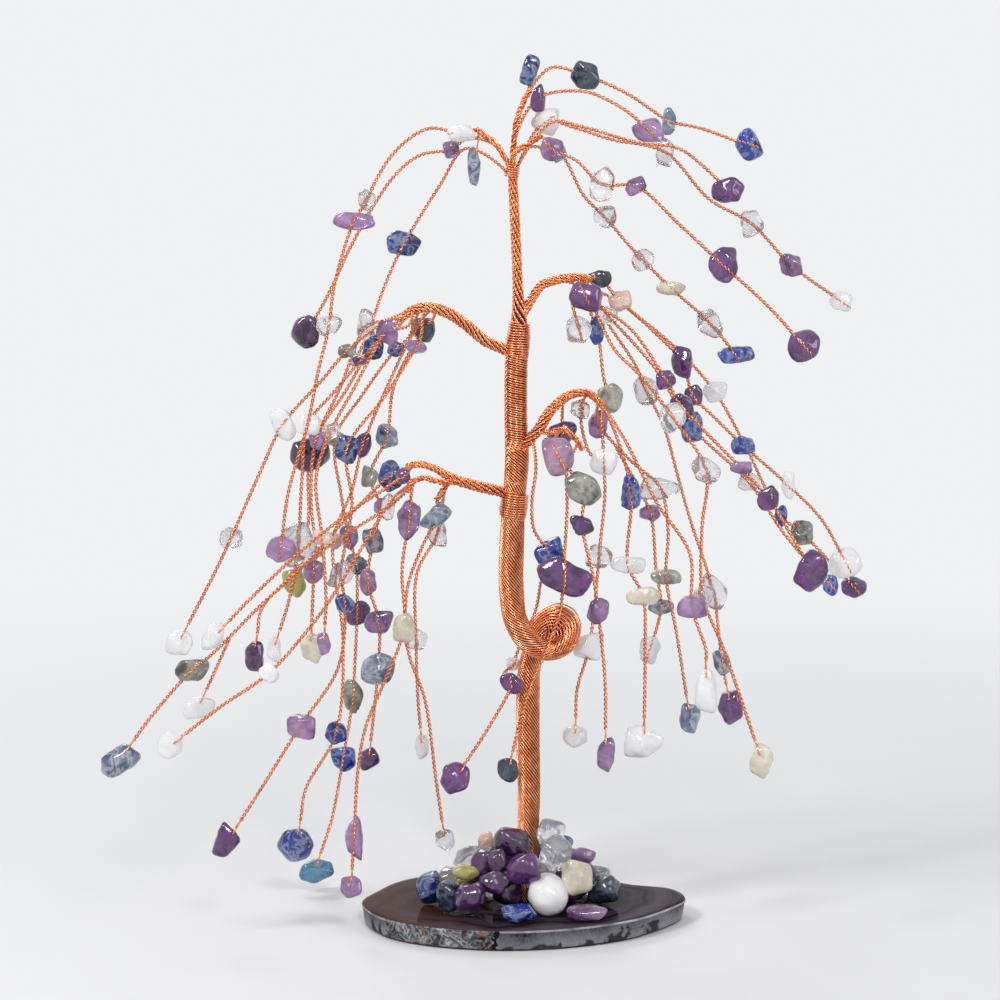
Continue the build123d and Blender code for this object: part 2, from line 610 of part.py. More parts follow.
class Strand:
    """Two wires twisted together, with its stones."""

    def __init__(self, carrier, share, stops, ending="clasped"):
        self.stops = stops
        self.hangs = ending == "hangs"
        points = [in_fan(stop) for stop in stops]
        self.stone_points = list(points)
        if self.hangs:
            before = points[-2] if len(points) > 1 else carrier.leave(share, points[0])
            self.up = Vector(before.X - points[-1].X, 0, before.Z - points[-1].Z).normalized()
            self.pin = points[-1] + self.up * (chip_reach(stops[-1], self.up) - pin_inset)
            points[-1] = self.pin + self.up * (pin_inset + eye_rise)
        first = carrier.leave(share, points[0])
        self.points = [first] + points
        self.lengths = [0.0]
        for low, high in zip(self.points, self.points[1:]):
            self.lengths.append(self.lengths[-1] + (high - low).length)

    def spot(self, share):
        reach = share * self.lengths[-1]
        for step in range(1, len(self.points)):
            if reach <= self.lengths[step]:
                break
        low, high = self.points[step - 1], self.points[step]
        heading = (high - low).normalized()
        return low + heading * (reach - self.lengths[step - 1]), heading

    def leave(self, share, toward):
        spot, heading = self.spot(share)
        outward = toward - spot
        outward = (outward - heading * outward.dot(heading)).normalized()
        return spot + outward * (2 * strand_radius + seat_gap)

    def solid(self):
        points = list(self.points)
        if not self.hangs:
            return run_of_wire(points, strand_radius, strand_sides)
        heading = (points[-1] - points[-2]).normalized()
        top = points[-1]
        points[-1] = top + heading * strand_radius
        body = run_of_wire(points, strand_radius, strand_sides)
        width = self.stops[-1][4] * mark
        height = self.stops[-1][5] * mark
        reach = Vector(0, chip_thickness(width, height) / 2 + wire_radius + eye_reach_gap, 0)
        start = Vector(0, wire_radius, 0)
        rise = self.up * pin_inset
        pin = self.pin
        eye = run_of_wire(
            [top + start, pin + reach + rise, pin + reach, pin - reach, pin - reach + rise, top - start],
            wire_radius, eye_sides)
        return largest(body.fuse(eye))

    def stones(self, variety):
        """Each stone's kind and solid, the hanging one last."""
        made = []
        shift = len(self.points) - len(self.stops)
        for number, stop in enumerate(self.stops):
            if len(stop) < 4:
                continue
            body = stone_on(stop, variety + number)
            here = self.stone_points[number]
            if self.hangs and number == len(self.stops) - 1:
                depth = Vector(0, stop[4] * mark + stop[5] * mark, 0)
                ends = [self.pin - depth, self.pin + depth]
                bore = run_of_wire(ends, wire_radius + pin_clearance, strand_sides)
            else:
                index = min(range(len(self.points)), key=lambda k: (self.points[k] - here).length)
                route = self.points[max(index - 2, 0):index + 3]
                if index == len(self.points) - 1:
                    heading = (route[-1] - route[-2]).normalized()
                    route = route[:-1] + [route[-1] + heading * (stop[4] + stop[5]) * mark]
                bore = run_of_wire(route, strand_radius + hole_clearance, strand_sides)
            made.append((stop[3], largest(body.cut(bore))))
        return made


# Windings


def biarc(start, start_heading, end, end_heading):
    """Two tangent arcs between two points and headings."""
    chord = end - start
    spread = start_heading.dot(end_heading) - 1
    along = chord.dot(start_heading + end_heading)
    reach = (along - sqrt(along**2 - 2 * spread * chord.dot(chord))) / (2 * spread)
    knee = start + start_heading * reach
    other = end - end_heading * reach
    middle = (knee + other) * 0.5
    first = Edge.make_tangent_arc(start, start_heading, middle)
    second = Edge.make_tangent_arc(middle, other - knee, end)
    return [first, second]


def winding(low, high, low_radius, high_radius, turns):
    """One unbroken wire wound round the line from low to high."""
    plane = Plane(low, z_dir=(high - low).normalized())
    pitch = (high - low).length / turns
    spots = []
    for step in range(2 * turns + 1):
        turn = pi * step
        radius = low_radius + (high_radius - low_radius) * step / (2 * turns)
        spot = Vector(radius * cos(turn), radius * sin(turn), pitch * step / 2)
        heading = Vector(-radius * sin(turn), radius * cos(turn), pitch / (2 * pi)).normalized()
        heading = plane.from_local_coords(heading) - plane.origin
        spots.append((plane.from_local_coords(spot), heading))
    edges = [Edge.make_line(spots[0][0] - spots[0][1] * 2 * binding_wire_radius, spots[0][0])]
    for (start, start_heading), (end, end_heading) in zip(spots, spots[1:]):
        edges += biarc(start, start_heading, end, end_heading)
    edges.append(Edge.make_line(spots[-1][0], spots[-1][0] + spots[-1][1] * 2 * binding_wire_radius))
    path = Wire(edges)
    corners = []
    section_plane = Plane(path.position_at(0), x_dir=plane.z_dir, z_dir=path.tangent_at(0))
    for side in range(binding_sides):
        turn = 2 * pi * side / binding_sides
        corner = Vector(binding_wire_radius * cos(turn), binding_wire_radius * sin(turn), 0)
        corners.append(section_plane.from_local_coords(corner))
    section = Face(Wire.make_polygon(corners))
    report_gap(path, turns)
    return Solid.sweep(section, path)


def report_gap(path, turns):
    """Print the least gap between neighbouring turns, measured on points."""
    count = binding_tries * turns
    points = [path.position_at(step / count) for step in range(count + 1)]
    least = min(
        (points[low] - points[high]).length
        for low in range(count + 1)
        for high in range(low + binding_tries // 2, count + 1)
    )
    print("least gap between turns", round(least - 2 * binding_wire_radius, 3), "mm")


# Base


def agate_base():
    """An irregular oval slice with tapered sides and softened edges."""
    outline_shares = [
        (-1.0, -0.06), (-0.92, 0.32), (-0.76, 0.72), (-0.5, 0.95), (0.0, 1.0), (0.42, 0.86),
        (0.68, 0.56), (0.92, 0.42),
        (1.0, 0.08), (0.9, -0.22), (0.62, -0.66), (0.2, -0.94), (-0.2, -1.0), (-0.58, -0.86), (-0.84, -0.6),
    ]
    rings = []
    for level, inset in (
        (0, slice_taper),
        (slice_edge, slice_taper - slice_edge),
        (slice_thickness - slice_edge, 0),
        (slice_thickness, slice_edge),
    ):
        points = []
        for across, back in outline_shares:
            points.append((across * (slice_width / 2 - inset), back * (slice_depth / 2 - inset), level))
        rings.append(Wire([Edge.make_spline([Vector(*point) for point in points], periodic=True)]))
    return Solid.make_loft(rings, ruled=True)


def drop(spot, sizes, others):
    """A chip lowered until it lies on the slice or on the chips under it."""
    level = slice_thickness + heap_gap + sizes[2] / 2
    for _, _, other_spot, other_sizes, _ in others:
        across = 2 * (spot.X - other_spot.X) / (sizes[0] + other_sizes[0])
        back = 2 * (spot.Y - other_spot.Y) / (sizes[1] + other_sizes[1])
        apart = across**2 + back**2
        if apart < 1:
            lift = (sizes[2] + other_sizes[2]) / 2 * sqrt(1 - apart) * heap_settle_share
            level = max(level, other_spot.Z + lift)
    return Vector(spot.X, spot.Y, level)


def heap():
    """Chips glued round the trunk's foot, each lying clear of those before it."""
    made = []
    room = Plane((foot.X, 0, slice_thickness))
    trunk_room = Solid.make_cylinder(trunk_radii[1] + 2 * heap_gap, eye_height, room)
    for number, (kind, across, back, *shares) in enumerate(heap_shares):
        width, height, thick = [share * heap_size_share * mark for share in shares]
        sizes = [width, thick, height]
        spot = drop(Vector((across - base_across_share) * mark, back * mark, 0), sizes, made)
        body = chip(width, height, thick, number).translate(spot)
        body = largest(body.cut(trunk_room))
        for _, _, other_spot, other_sizes, other_number in made:
            apart = other_spot - spot
            if all(abs(gap) < (size + other) / 2 for gap, size, other in zip(apart, sizes, other_sizes)):
                wide, thin, tall = [size + 2 * heap_gap for size in other_sizes]
                grown = chip(wide, tall, thin, other_number)
                body = largest(body.cut(grown.translate(other_spot)))
        made.append((kind, body, spot, sizes, number))
    return [(kind, body) for kind, body, *_ in made]


nodes = {}


def keep(name, *solids):
    nodes.setdefault(name, []).extend(solids)


keep("agate_base", agate_base())
for kind, body in heap():
    keep("base_" + kind, body)

for name in ("trunk", *bough_shares):
    keep(name, bundles[name].solid())
for name in shoot_shares:
    line = bundles[name].line
    points = [line.position_at(step / shoot_sections) for step in range(shoot_sections + 1)]
    keep("shoots", run_of_wire(points, shoot_radius, shoot_sides))

hanging = {}
variety = 0
for fan, strands in strand_shares.items():
    region = "crown" if "crown" in fan else fan.split("_")[1]
    for name, made in strands.items():
        strand = Strand(bundles[made[0]], *made[1:])
        bundles[name] = strand
        keep(fan + "_strands", strand.solid())
        stones = strand.stones(variety)
        variety += 3
        if strand.hangs:
            kind, body = stones.pop()
            node = "end_" + kind + "_" + name
            hanging[node] = (kind, strand.pin)
            keep(node, body)
        for kind, body in stones:
            keep(region + "_" + kind, body)

for low_across, low, low_radius, high_across, high, high_radius, turns in binding_shares.values():
    ends = [place(low_across, low, 0), place(high_across, high, 0)]
    keep("bindings", winding(*ends, low_radius * mark, high_radius * mark, turns))

if __name__ == "__main__":
    os.makedirs("parts", exist_ok=True)
    for name, solids in nodes.items():
        export_step(Compound(solids), f"parts/{name}.step")
    print(len(nodes), "nodes", sum(len(solids) for solids in nodes.values()), "solids")
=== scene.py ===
from math import atan2, cos, pi, radians, sin, sqrt

import bmesh
import bpy
import numpy as np
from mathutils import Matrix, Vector, noise


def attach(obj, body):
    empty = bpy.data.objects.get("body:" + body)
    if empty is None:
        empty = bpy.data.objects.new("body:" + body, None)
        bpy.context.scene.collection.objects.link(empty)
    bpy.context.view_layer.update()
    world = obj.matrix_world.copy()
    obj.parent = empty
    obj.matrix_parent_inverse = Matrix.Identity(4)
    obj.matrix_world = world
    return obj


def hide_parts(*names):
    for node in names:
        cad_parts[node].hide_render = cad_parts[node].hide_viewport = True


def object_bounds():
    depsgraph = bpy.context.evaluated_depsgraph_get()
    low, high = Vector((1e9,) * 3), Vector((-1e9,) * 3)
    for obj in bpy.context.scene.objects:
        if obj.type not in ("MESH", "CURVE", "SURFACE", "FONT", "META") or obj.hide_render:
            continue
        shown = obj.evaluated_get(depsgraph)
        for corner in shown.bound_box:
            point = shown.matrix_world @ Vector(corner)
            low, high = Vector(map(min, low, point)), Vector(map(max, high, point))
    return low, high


# Gemstone tree ornament: a twisted copper wire tree with drilled stone chips, on an agate slice.
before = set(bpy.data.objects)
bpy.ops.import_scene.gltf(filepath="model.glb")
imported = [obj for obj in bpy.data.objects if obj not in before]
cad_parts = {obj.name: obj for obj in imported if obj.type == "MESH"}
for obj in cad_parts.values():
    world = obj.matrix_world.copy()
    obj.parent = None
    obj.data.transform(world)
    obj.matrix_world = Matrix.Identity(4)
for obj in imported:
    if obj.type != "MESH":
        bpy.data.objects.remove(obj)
cad_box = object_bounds()


# The agate slice: a thin slab sawn from a banded agate and polished to a gloss on top.
# Its rim keeps some of the rough outer crust, and the whole tree stands on it.
slice_width = 0.099
slice_depth = 0.071
slice_thickness = 0.0065
slice_taper = 0.0016
slice_edge = 0.0007
slice_outline = [
    (-1.0, -0.06), (-0.92, 0.32), (-0.76, 0.72), (-0.5, 0.95), (0.0, 1.0), (0.42, 0.86),
    (0.68, 0.56), (0.92, 0.42), (1.0, 0.08), (0.9, -0.22), (0.62, -0.66), (0.2, -0.94),
    (-0.2, -1.0), (-0.58, -0.86), (-0.84, -0.6),
]
rim_points = 240
rim_levels = 7
crumble_depth = 0.00035
fine_crumble, coarse_crumble = 900, 260
tone_shift = 37
agate_bands = [
    (0.0, (0.006, 0.003, 0.007)), (0.3, (0.01, 0.005, 0.01)), (0.38, (0.035, 0.022, 0.04)),
    (0.42, (0.008, 0.004, 0.008)), (0.52, (0.018, 0.011, 0.02)), (0.57, (0.07, 0.05, 0.08)),
    (0.6, (0.014, 0.007, 0.01)), (0.68, (0.008, 0.004, 0.007)), (0.74, (0.04, 0.028, 0.045)),
    (0.8, (0.01, 0.006, 0.009)), (0.88, (0.07, 0.052, 0.07)), (1.0, (0.03, 0.02, 0.026)),
]
agate_lines = 95
rim_front = -0.012
crust_left, crust_border, crust_right = -0.041, -0.0096, -0.0082
painted_highlight_depth = 0.0009


def smooth(points, steps, closed=False):
    """Points along a smooth line through the given points, which may carry a radius as well."""
    count = len(points)
    line = []
    for index in range(count if closed else count - 1):
        around = [index + shift for shift in (-1, 0, 1, 2)]
        near = [points[k % count if closed else min(max(k, 0), count - 1)] for k in around]
        before, start, end, after = [np.array(point, float) for point in near]
        if not closed and index == 0:
            before = 2 * start - end
        if not closed and index == count - 2:
            after = 2 * end - start
        one, two, three = [
            max(np.linalg.norm((b - a)[:3]), 1e-6) ** 0.5
            for a, b in ((before, start), (start, end), (end, after))]
        leaving = (start - before) / one - (end - before) / (one + two) + (end - start) / two
        arriving = (end - start) / two - (after - start) / (two + three) + (after - end) / three
        leaving *= two
        arriving *= two
        for step in range(steps):
            t = step / steps
            line.append(
                (2 * t**3 - 3 * t**2 + 1) * start + (t**3 - 2 * t**2 + t) * leaving
                + (3 * t**2 - 2 * t**3) * end + (t**3 - t**2) * arriving)
    if not closed:
        line.append(np.array(points[-1], float))
    return line


def slice_rings():
    """Rings of points from the underside's middle, round the rim, to the middle of the top."""
    line = smooth(slice_outline, 40, closed=True)
    picks = [line[int(k * len(line) / rim_points)] for k in range(rim_points)]
    levels = [(0, slice_taper, share, 0) for share in (0.3, 0.6, 0.9)]
    levels += [(0, slice_taper, 1, 0.2)]
    last = rim_levels - 1
    for step in range(rim_levels):
        height = slice_edge + (slice_thickness - 2 * slice_edge) * step / last
        inset = (slice_taper - slice_edge) * (1 - step / last)
        levels.append((height, inset, 1, 1 if step < last else 0.3))
    levels += [(slice_thickness - slice_edge / 3, slice_edge / 3, 1, 0)]
    for share in (1, 0.97, 0.9, 0.8, 0.65, 0.45, 0.2):
        levels.append((slice_thickness, slice_edge, share, 0))
    rings = []
    for height, inset, share, rough in levels:
        half_width, half_depth = slice_width / 2 - inset, slice_depth / 2 - inset
        ring = []
        for across, back in picks:
            spot = Vector((across * half_width * share, back * half_depth * share, height))
            fine, coarse = noise.noise(spot * fine_crumble), noise.noise(spot * coarse_crumble)
            crumble = fine * 0.5 + 0.5 + coarse * 0.6
            reach = spot.xy.length
            spot.xy *= 1 - rough * max(crumble, 0) * crumble_depth / reach
            ring.append(spot)
        rings.append(ring)
    return rings


def in_scene(name, data):
    """A new object of this name in the scene."""
    piece = bpy.data.objects.new(name, data)
    bpy.context.scene.collection.objects.link(piece)
    return piece


def smooth_piece(name, points, faces):
    """A smoothly shaded piece of these points and faces."""
    mesh = bpy.data.meshes.new(name)
    mesh.from_pydata(points, [], faces)
    mesh.shade_smooth()
    return in_scene(name, mesh)


def skin(name, rings):
    """A closed piece over rings of points, with a point at the middle of each end."""
    count = len(rings[0])
    points = [point for ring in rings for point in ring]
    faces = []
    for low in range(len(rings) - 1):
        for k in range(count):
            after = (k + 1) % count
            corners = [low * count + k, low * count + after]
            faces.append(corners + [corner + count for corner in corners[::-1]])
    for ring, order in ((0, 1), (len(rings) - 1, -1)):
        points.append(sum(rings[ring], Vector()) / count)
        for k in range(count):
            corner = [ring * count + (k + 1) % count, ring * count + k, len(points) - 1]
            faces.append(corner[::order])
    return smooth_piece(name, [tuple(point) for point in points], faces)


class Recipe:
    """The nodes of one finish or pattern, with short ways to add and feed them."""

    def __init__(self, tree):
        self.nodes, self.link = tree.nodes, tree.links.new

    def feed(self, socket, value):
        """Links a socket to another, or gives it a plain value or colour."""
        if isinstance(value, bpy.types.NodeSocket):
            self.link(value, socket)
        else:
            socket.default_value = (*value, 1) if socket.type == "RGBA" else value

    def add(self, kind, settings=None, **values):
        """A new node, with its settings made and its named inputs fed."""
        node = self.nodes.new(kind)
        for setting, value in (settings or {}).items():
            setattr(node, setting, value)
        for label, value in values.items():
            self.feed(node.inputs[label.replace("_", " ")], value)
        return node

    def number(self, operation, *values):
        """One step of arithmetic on sockets and plain numbers."""
        step = self.add("ShaderNodeMath", {"operation": operation})
        for socket, value in zip(step.inputs, values):
            self.feed(socket, value)
        return step.outputs[0]

    def clamped(self, value, top=1):
        """The value, held between nothing and the top."""
        return self.number("MINIMUM", self.number("MAXIMUM", value, 0), top)

    def mixed(self, share, first, second):
        """The colour between two, each a socket or a plain colour, by a mask or a share."""
        mix = self.add("ShaderNodeMix", {"data_type": "RGBA"})
        colours = [socket for socket in mix.inputs if socket.type == "RGBA"]
        for socket, value in zip([mix.inputs[0]] + colours, (share, first, second)):
            self.feed(socket, value)
        return [socket for socket in mix.outputs if socket.type == "RGBA"][0]

    def ramp(self, value, stops, interpolation="LINEAR"):
        """The colour or grey level that the stops give along a value."""
        node = self.add("ShaderNodeValToRGB", Fac=value)
        node.color_ramp.interpolation = interpolation
        elements = node.color_ramp.elements
        while len(elements) < len(stops):
            elements.new(0.5)
        for element, (position, colour) in zip(elements, stops):
            element.position = position
            element.color = (*colour, 1) if isinstance(colour, tuple) else (*[colour] * 3, 1)
        return node.outputs["Color"]

    def bumped(self, height, strength, distance):
        """The normal of a surface that the height ripples."""
        bump = self.add("ShaderNodeBump", Strength=strength, Distance=distance, Height=height)
        return bump.outputs["Normal"]

    def parts(self, vector):
        """The three parts of a vector."""
        split = self.add("ShaderNodeSeparateXYZ", Vector=vector)
        return split.outputs["X"], split.outputs["Y"], split.outputs["Z"]


def mineral_group():
    """Clouds, veins, specks and fine grit of a stone, shifted by each stone's own tone."""
    tree = bpy.data.node_groups.new("mineral", "ShaderNodeTree")
    for label, kind in (("Place", "Vector"), ("Size", "Float"), ("Tone", "Float")):
        tree.interface.new_socket(label, in_out="INPUT", socket_type="NodeSocket" + kind)
    for label in ("Clouds", "Veins", "Specks", "Grit"):
        tree.interface.new_socket(label, in_out="OUTPUT", socket_type="NodeSocketFloat")
    recipe = Recipe(tree)
    given, made = recipe.add("NodeGroupInput").outputs, recipe.add("NodeGroupOutput").inputs
    shift = recipe.number("MULTIPLY", given["Tone"], tone_shift)
    for label, factor, detail, twist, marks in (
        ("Clouds", 1, 3, 0.8, ((0.32, 0), (0.68, 1))),
        ("Veins", 0.8, 4, 1.6, ((0.44, 0), (0.5, 1), (0.56, 0))),
        ("Grit", 9, 3, 0, ((0.2, 0), (0.8, 1))),
    ):
        size = recipe.number("MULTIPLY", given["Size"], factor)
        cloud = recipe.add("ShaderNodeTexNoise", {"noise_dimensions": "4D"}, Vector=given["Place"],
                           W=shift, Scale=size, Detail=detail, Distortion=twist)
        recipe.link(recipe.ramp(cloud.outputs["Fac"], marks), made[label])
    size = recipe.number("MULTIPLY", given["Size"], 3.5)
    cells = recipe.add("ShaderNodeTexVoronoi", Vector=given["Place"], Scale=size)
    recipe.link(recipe.ramp(cells.outputs["Distance"], ((0.1, 1), (0.22, 0))), made["Specks"])
    return tree


mineral = mineral_group()


class Finish(Recipe):
    """A new material with the mineral group placed in it."""

    def __init__(self, name, size, roughness):
        self.material = bpy.data.materials.new(name)
        self.material.use_nodes = True
        super().__init__(self.material.node_tree)
        self.shader = self.nodes["Principled BSDF"].inputs
        self.shader["Roughness"].default_value = roughness
        self.spot = self.add("ShaderNodeTexCoord").outputs["Object"]
        tone = self.add("ShaderNodeAttribute", {"attribute_name": "stone_tone"})
        self.tone = tone.outputs["Fac"]
        self.marks = self.marks_at(size, Tone=self.tone)

    def marks_at(self, size, **tone):
        """The clouds, veins, specks and grit at one size."""
        group = self.add(
            "ShaderNodeGroup", {"node_tree": mineral}, Place=self.spot, Size=size, **tone)
        return group.outputs

    def dressed(self, **values):
        """The material, with the shader's named inputs fed."""
        for label, value in values.items():
            self.feed(self.shader[label.replace("_", " ")], value)
        return self.material


def agate_material():
    """Dark violet-brown bands, pale lines between them, and a rough crust on the rim."""
    finish = Finish("banded_agate", 60, 0.09)
    number, clamped, mixed = finish.number, finish.clamped, finish.mixed
    x, y, z = finish.parts(finish.spot)
    upward = finish.parts(finish.add("ShaderNodeNewGeometry").outputs["Normal"])[2]
    fine, broad = finish.marks_at(330), finish.marks_at(150)
    wide, deep = number("MULTIPLY", x, 2 / slice_width), number("MULTIPLY", y, 2 / slice_depth)

    # The sawn face: bands that follow the outline, thin lines, and a brown left end.
    wave = finish.add("ShaderNodeTexNoise", Scale=34, Detail=2, Vector=finish.spot).outputs["Fac"]
    squares = [number("POWER", number("ABSOLUTE", part), 2) for part in (wide, deep)]
    reach = number("SQRT", number("ADD", *squares))
    reach = number("ADD", reach, number("MULTIPLY", wave, 0.7))
    bands = finish.ramp(number("MULTIPLY", reach, 0.68), agate_bands, "EASE")
    lines = number("SINE", number("MULTIPLY", reach, agate_lines))
    lines = number("MULTIPLY_ADD", lines, 0.15, 0.15)
    banded = mixed(lines, bands, (0.075, 0.055, 0.08))
    brown = clamped(number("MULTIPLY_ADD", wide, -1.5, -0.3))
    banded = mixed(number("MULTIPLY", brown, 0.62), banded, (0.1, 0.04, 0.022))

    # The rim: grey that pales downwards and to the ends, pale veins, and black blots in front.
    height = number("MULTIPLY_ADD", z, -1 / slice_thickness, 0.9)
    clouds = number("SUBTRACT", finish.marks["Clouds"], 0.5)
    height = number("MULTIPLY_ADD", clouds, 0.5, height)
    height = clamped(number("MULTIPLY_ADD", number("ABSOLUTE", wide), 0.3, height))
    rim = mixed(height, (0.024, 0.02, 0.03), (0.27, 0.26, 0.29))
    rim = mixed(number("MULTIPLY", fine["Veins"], 0.08), rim, (0.6, 0.6, 0.64))
    front = number("LESS_THAN", y, rim_front)
    blots = number("MULTIPLY_ADD", z, -0.75 / slice_thickness, -0.3)
    blots = clamped(number("MULTIPLY", number("ADD", broad["Clouds"], blots), 5), 0.85)
    rim = mixed(number("MULTIPLY", blots, front), rim, (0.012, 0.01, 0.012))

    # The crust on the left of the front: crystals with pale veins, warm spots, a black border.
    crust = mixed(broad["Clouds"], (0.005, 0.004, 0.006), (0.17, 0.19, 0.21))
    crust = mixed(number("MULTIPLY", fine["Veins"], broad["Clouds"]), crust, (0.68, 0.76, 0.8))
    warm = number("MULTIPLY", fine["Clouds"], broad["Veins"])
    crust = mixed(number("MULTIPLY", warm, 0.6), crust, (0.5, 0.28, 0.19))
    left = number("MULTIPLY_ADD", number("SUBTRACT", fine["Clouds"], 0.5), 0.003, x)
    crust = mixed(number("GREATER_THAN", left, crust_border), crust, (0.012, 0.011, 0.012))
    patch = number("MULTIPLY", number("LESS_THAN", left, crust_right),
                   number("GREATER_THAN", left, crust_left))
    patch = number("MULTIPLY", patch, front)
    # Painted highlight: a pale band in broad clouds along the top of the rim, outside the crust,
    # stands in for the light that the rim's top edge catches.
    edge = number("GREATER_THAN", z, slice_thickness - painted_highlight_depth)
    edge = number("MULTIPLY", edge, number("MULTIPLY_ADD", broad["Clouds"], 0.5, 0.1))
    rim = mixed(patch, mixed(edge, rim, (0.7, 0.7, 0.74)), crust)

    side = number("LESS_THAN", number("ABSOLUTE", upward), 0.6)
    ripple = number("MULTIPLY", fine["Grit"], number("MULTIPLY", patch, side))
    return finish.dressed(
        Base_Color=mixed(side, banded, rim), Roughness=number("MULTIPLY_ADD", side, 0.2, 0.05),
        Normal=finish.bumped(ripple, 0.8, 0.0005), IOR=1.06)


agate = skin("agate_slice", slice_rings())
agate.data.materials.append(agate_material())
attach(agate, "tree")
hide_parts("agate_base")


# The heap of chips: tumbled amethyst, lapis, rock crystal and other stones, drilled ones among
# them, glued round the trunk's foot. Each pebble fills its own chip of the CAD model.
stone_looks = {
    # dark colour, pale colour, colour of the veins, size of the pattern, roughness, depth
    "clear": ((0.62, 0.63, 0.68), (0.97, 0.97, 0.99), (1.0, 1.0, 1.0), 170, 0.03, 0.85),
    "milk": ((0.72, 0.72, 0.75), (0.92, 0.91, 0.9), (0.97, 0.97, 0.97), 120, 0.08, 0.1),
    "lilac": ((0.12, 0.03, 0.16), (0.56, 0.33, 0.62), (0.88, 0.8, 0.92), 130, 0.05, 0.5),
    "violet": ((0.018, 0.003, 0.025), (0.2, 0.055, 0.27), (0.5, 0.34, 0.6), 130, 0.04, 0.45),
    "plum": ((0.004, 0.001, 0.006), (0.07, 0.018, 0.085), (0.36, 0.22, 0.42), 150, 0.03, 0.2),
    "mauve": ((0.25, 0.11, 0.22), (0.55, 0.36, 0.48), (0.85, 0.75, 0.85), 120, 0.12, 0.15),
    "royal": ((0.003, 0.007, 0.07), (0.012, 0.04, 0.32), (0.36, 0.44, 0.6), 190, 0.09, 0.0),
    "denim": ((0.01, 0.022, 0.1), (0.25, 0.32, 0.41), (0.72, 0.75, 0.72), 190, 0.1, 0.0),
    "slate": ((0.004, 0.006, 0.014), (0.03, 0.046, 0.085), (0.26, 0.33, 0.42), 170, 0.07, 0.0),
    "smoke": ((0.05, 0.05, 0.045), (0.5, 0.49, 0.41), (0.85, 0.84, 0.78), 210, 0.08, 0.2),
    "olive": ((0.13, 0.11, 0.02), (0.46, 0.41, 0.12), (0.7, 0.68, 0.46), 120, 0.14, 0.1),
    "peach": ((0.55, 0.28, 0.21), (0.84, 0.6, 0.51), (0.93, 0.86, 0.82), 120, 0.1, 0.15),
    "teal": ((0.015, 0.06, 0.13), (0.08, 0.24, 0.4), (0.5, 0.65, 0.7), 150, 0.12, 0.0),
    "cream": ((0.52, 0.46, 0.34), (0.82, 0.77, 0.64), (0.92, 0.9, 0.84), 130, 0.12, 0.1),
}
strongly_veined = ("clear", "denim", "royal")
speck_colours = {
    "royal": (0.5, 0.4, 0.2), "smoke": (0.03, 0.03, 0.035), "denim": (0.02, 0.03, 0.08),
}
heap_looks = {
    "amethyst": ["violet", "violet", "lilac", "plum", "plum", "plum", "plum", "violet", "plum"],
    "lapis": ["royal", "royal", "slate", "royal", "royal"],
    "quartz": ["milk"] + ["clear"] * 5 + ["milk"] + ["clear"] * 3 + ["milk", "clear"],
    "mixed": ["slate", "cream", "olive", "peach", "peach"],
}
heap_fillers = [
    ("mixed", "peach", (-0.0113, 0.0006, 0.0244), (0.0060, 0.0052, 0.0072)),
    ("lapis", "royal", (0.0101, 0.0066, 0.0227), (0.0114, 0.0052, 0.0060)),
    ("mixed", "olive", (-0.0178, -0.0144, 0.0188), (0.0090, 0.0046, 0.0051)),
    ("amethyst", "lilac", (0.0179, -0.0012, 0.0208), (0.0084, 0.0048, 0.0054)),
    ("amethyst", "plum", (0.0186, -0.0084, 0.0173), (0.0066, 0.0052, 0.0060)),
    ("amethyst", "lilac", (-0.0139, -0.0186, 0.0134), (0.0054, 0.0048, 0.0078)),
    ("amethyst", "plum", (-0.0079, -0.0150, 0.0220), (0.0072, 0.0060, 0.0090)),
]
filler_corners = 13
filler_turn = 2.4
pebble_power = 10
milk_power = 3
pebble_ripple = 0.09
ripple_size = 1.5


def stone_material(look):
    """A polished stone: a dark and a pale colour in clouds, veins, and a glassy depth."""
    dark, pale, vein, size, roughness, depth = stone_looks[look]
    finish = Finish("polished_" + look, size, roughness)
    number, mixed, marks = finish.number, finish.mixed, finish.marks
    share = number("ADD", marks["Clouds"], number("MULTIPLY_ADD", finish.tone, 0.5, -0.25))
    strength = 0.45 if look in strongly_veined else 0.16
    body = mixed(number("MULTIPLY", marks["Veins"], strength), mixed(share, dark, pale), vein)
    if look in speck_colours:
        body = mixed(number("MULTIPLY", marks["Specks"], 0.6), body, speck_colours[look])
    return finish.dressed(
        Base_Color=body, Roughness=number("MULTIPLY_ADD", marks["Veins"], 0.2, roughness),
        Normal=finish.bumped(marks["Grit"], 0.12, 0.0002), Transmission_Weight=depth, IOR=1.54,
        Coat_Weight=0.4, Coat_Roughness=0.05)


stone_materials = {look: stone_material(look) for look in stone_looks}
ball = bmesh.new()
bmesh.ops.create_icosphere(ball, subdivisions=4, radius=1)
ball_spots = np.array([vert.co for vert in ball.verts])
ball_faces = [[vert.index for vert in face.verts] for face in ball.faces]
ball.free()


def chips_of(node):
    """The corners of each separate chip in a CAD node, in order along the mesh."""
    merged = bmesh.new()
    merged.from_mesh(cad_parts[node].data)
    bmesh.ops.remove_doubles(merged, verts=merged.verts, dist=1e-7)
    left = set(merged.verts)
    chips = []
    for start in list(merged.verts):
        if start not in left:
            continue
        found, edge = [], [start]
        left.discard(start)
        while edge:
            vert = edge.pop()
            found.append(vert.co.copy())
            for link in vert.link_edges:
                other = link.other_vert(vert)
                if other in left:
                    left.discard(other)
                    edge.append(other)
        chips.append(found)
    merged.free()
    return chips


def reach_of(planes, directions, power):
    """How far a tumbled pebble's surface lies from its middle, inside its planes."""
    shares = np.maximum(directions @ planes[:, :3].T, 0) / planes[:, 3]
    return (shares**power).sum(1) ** (-1 / power)


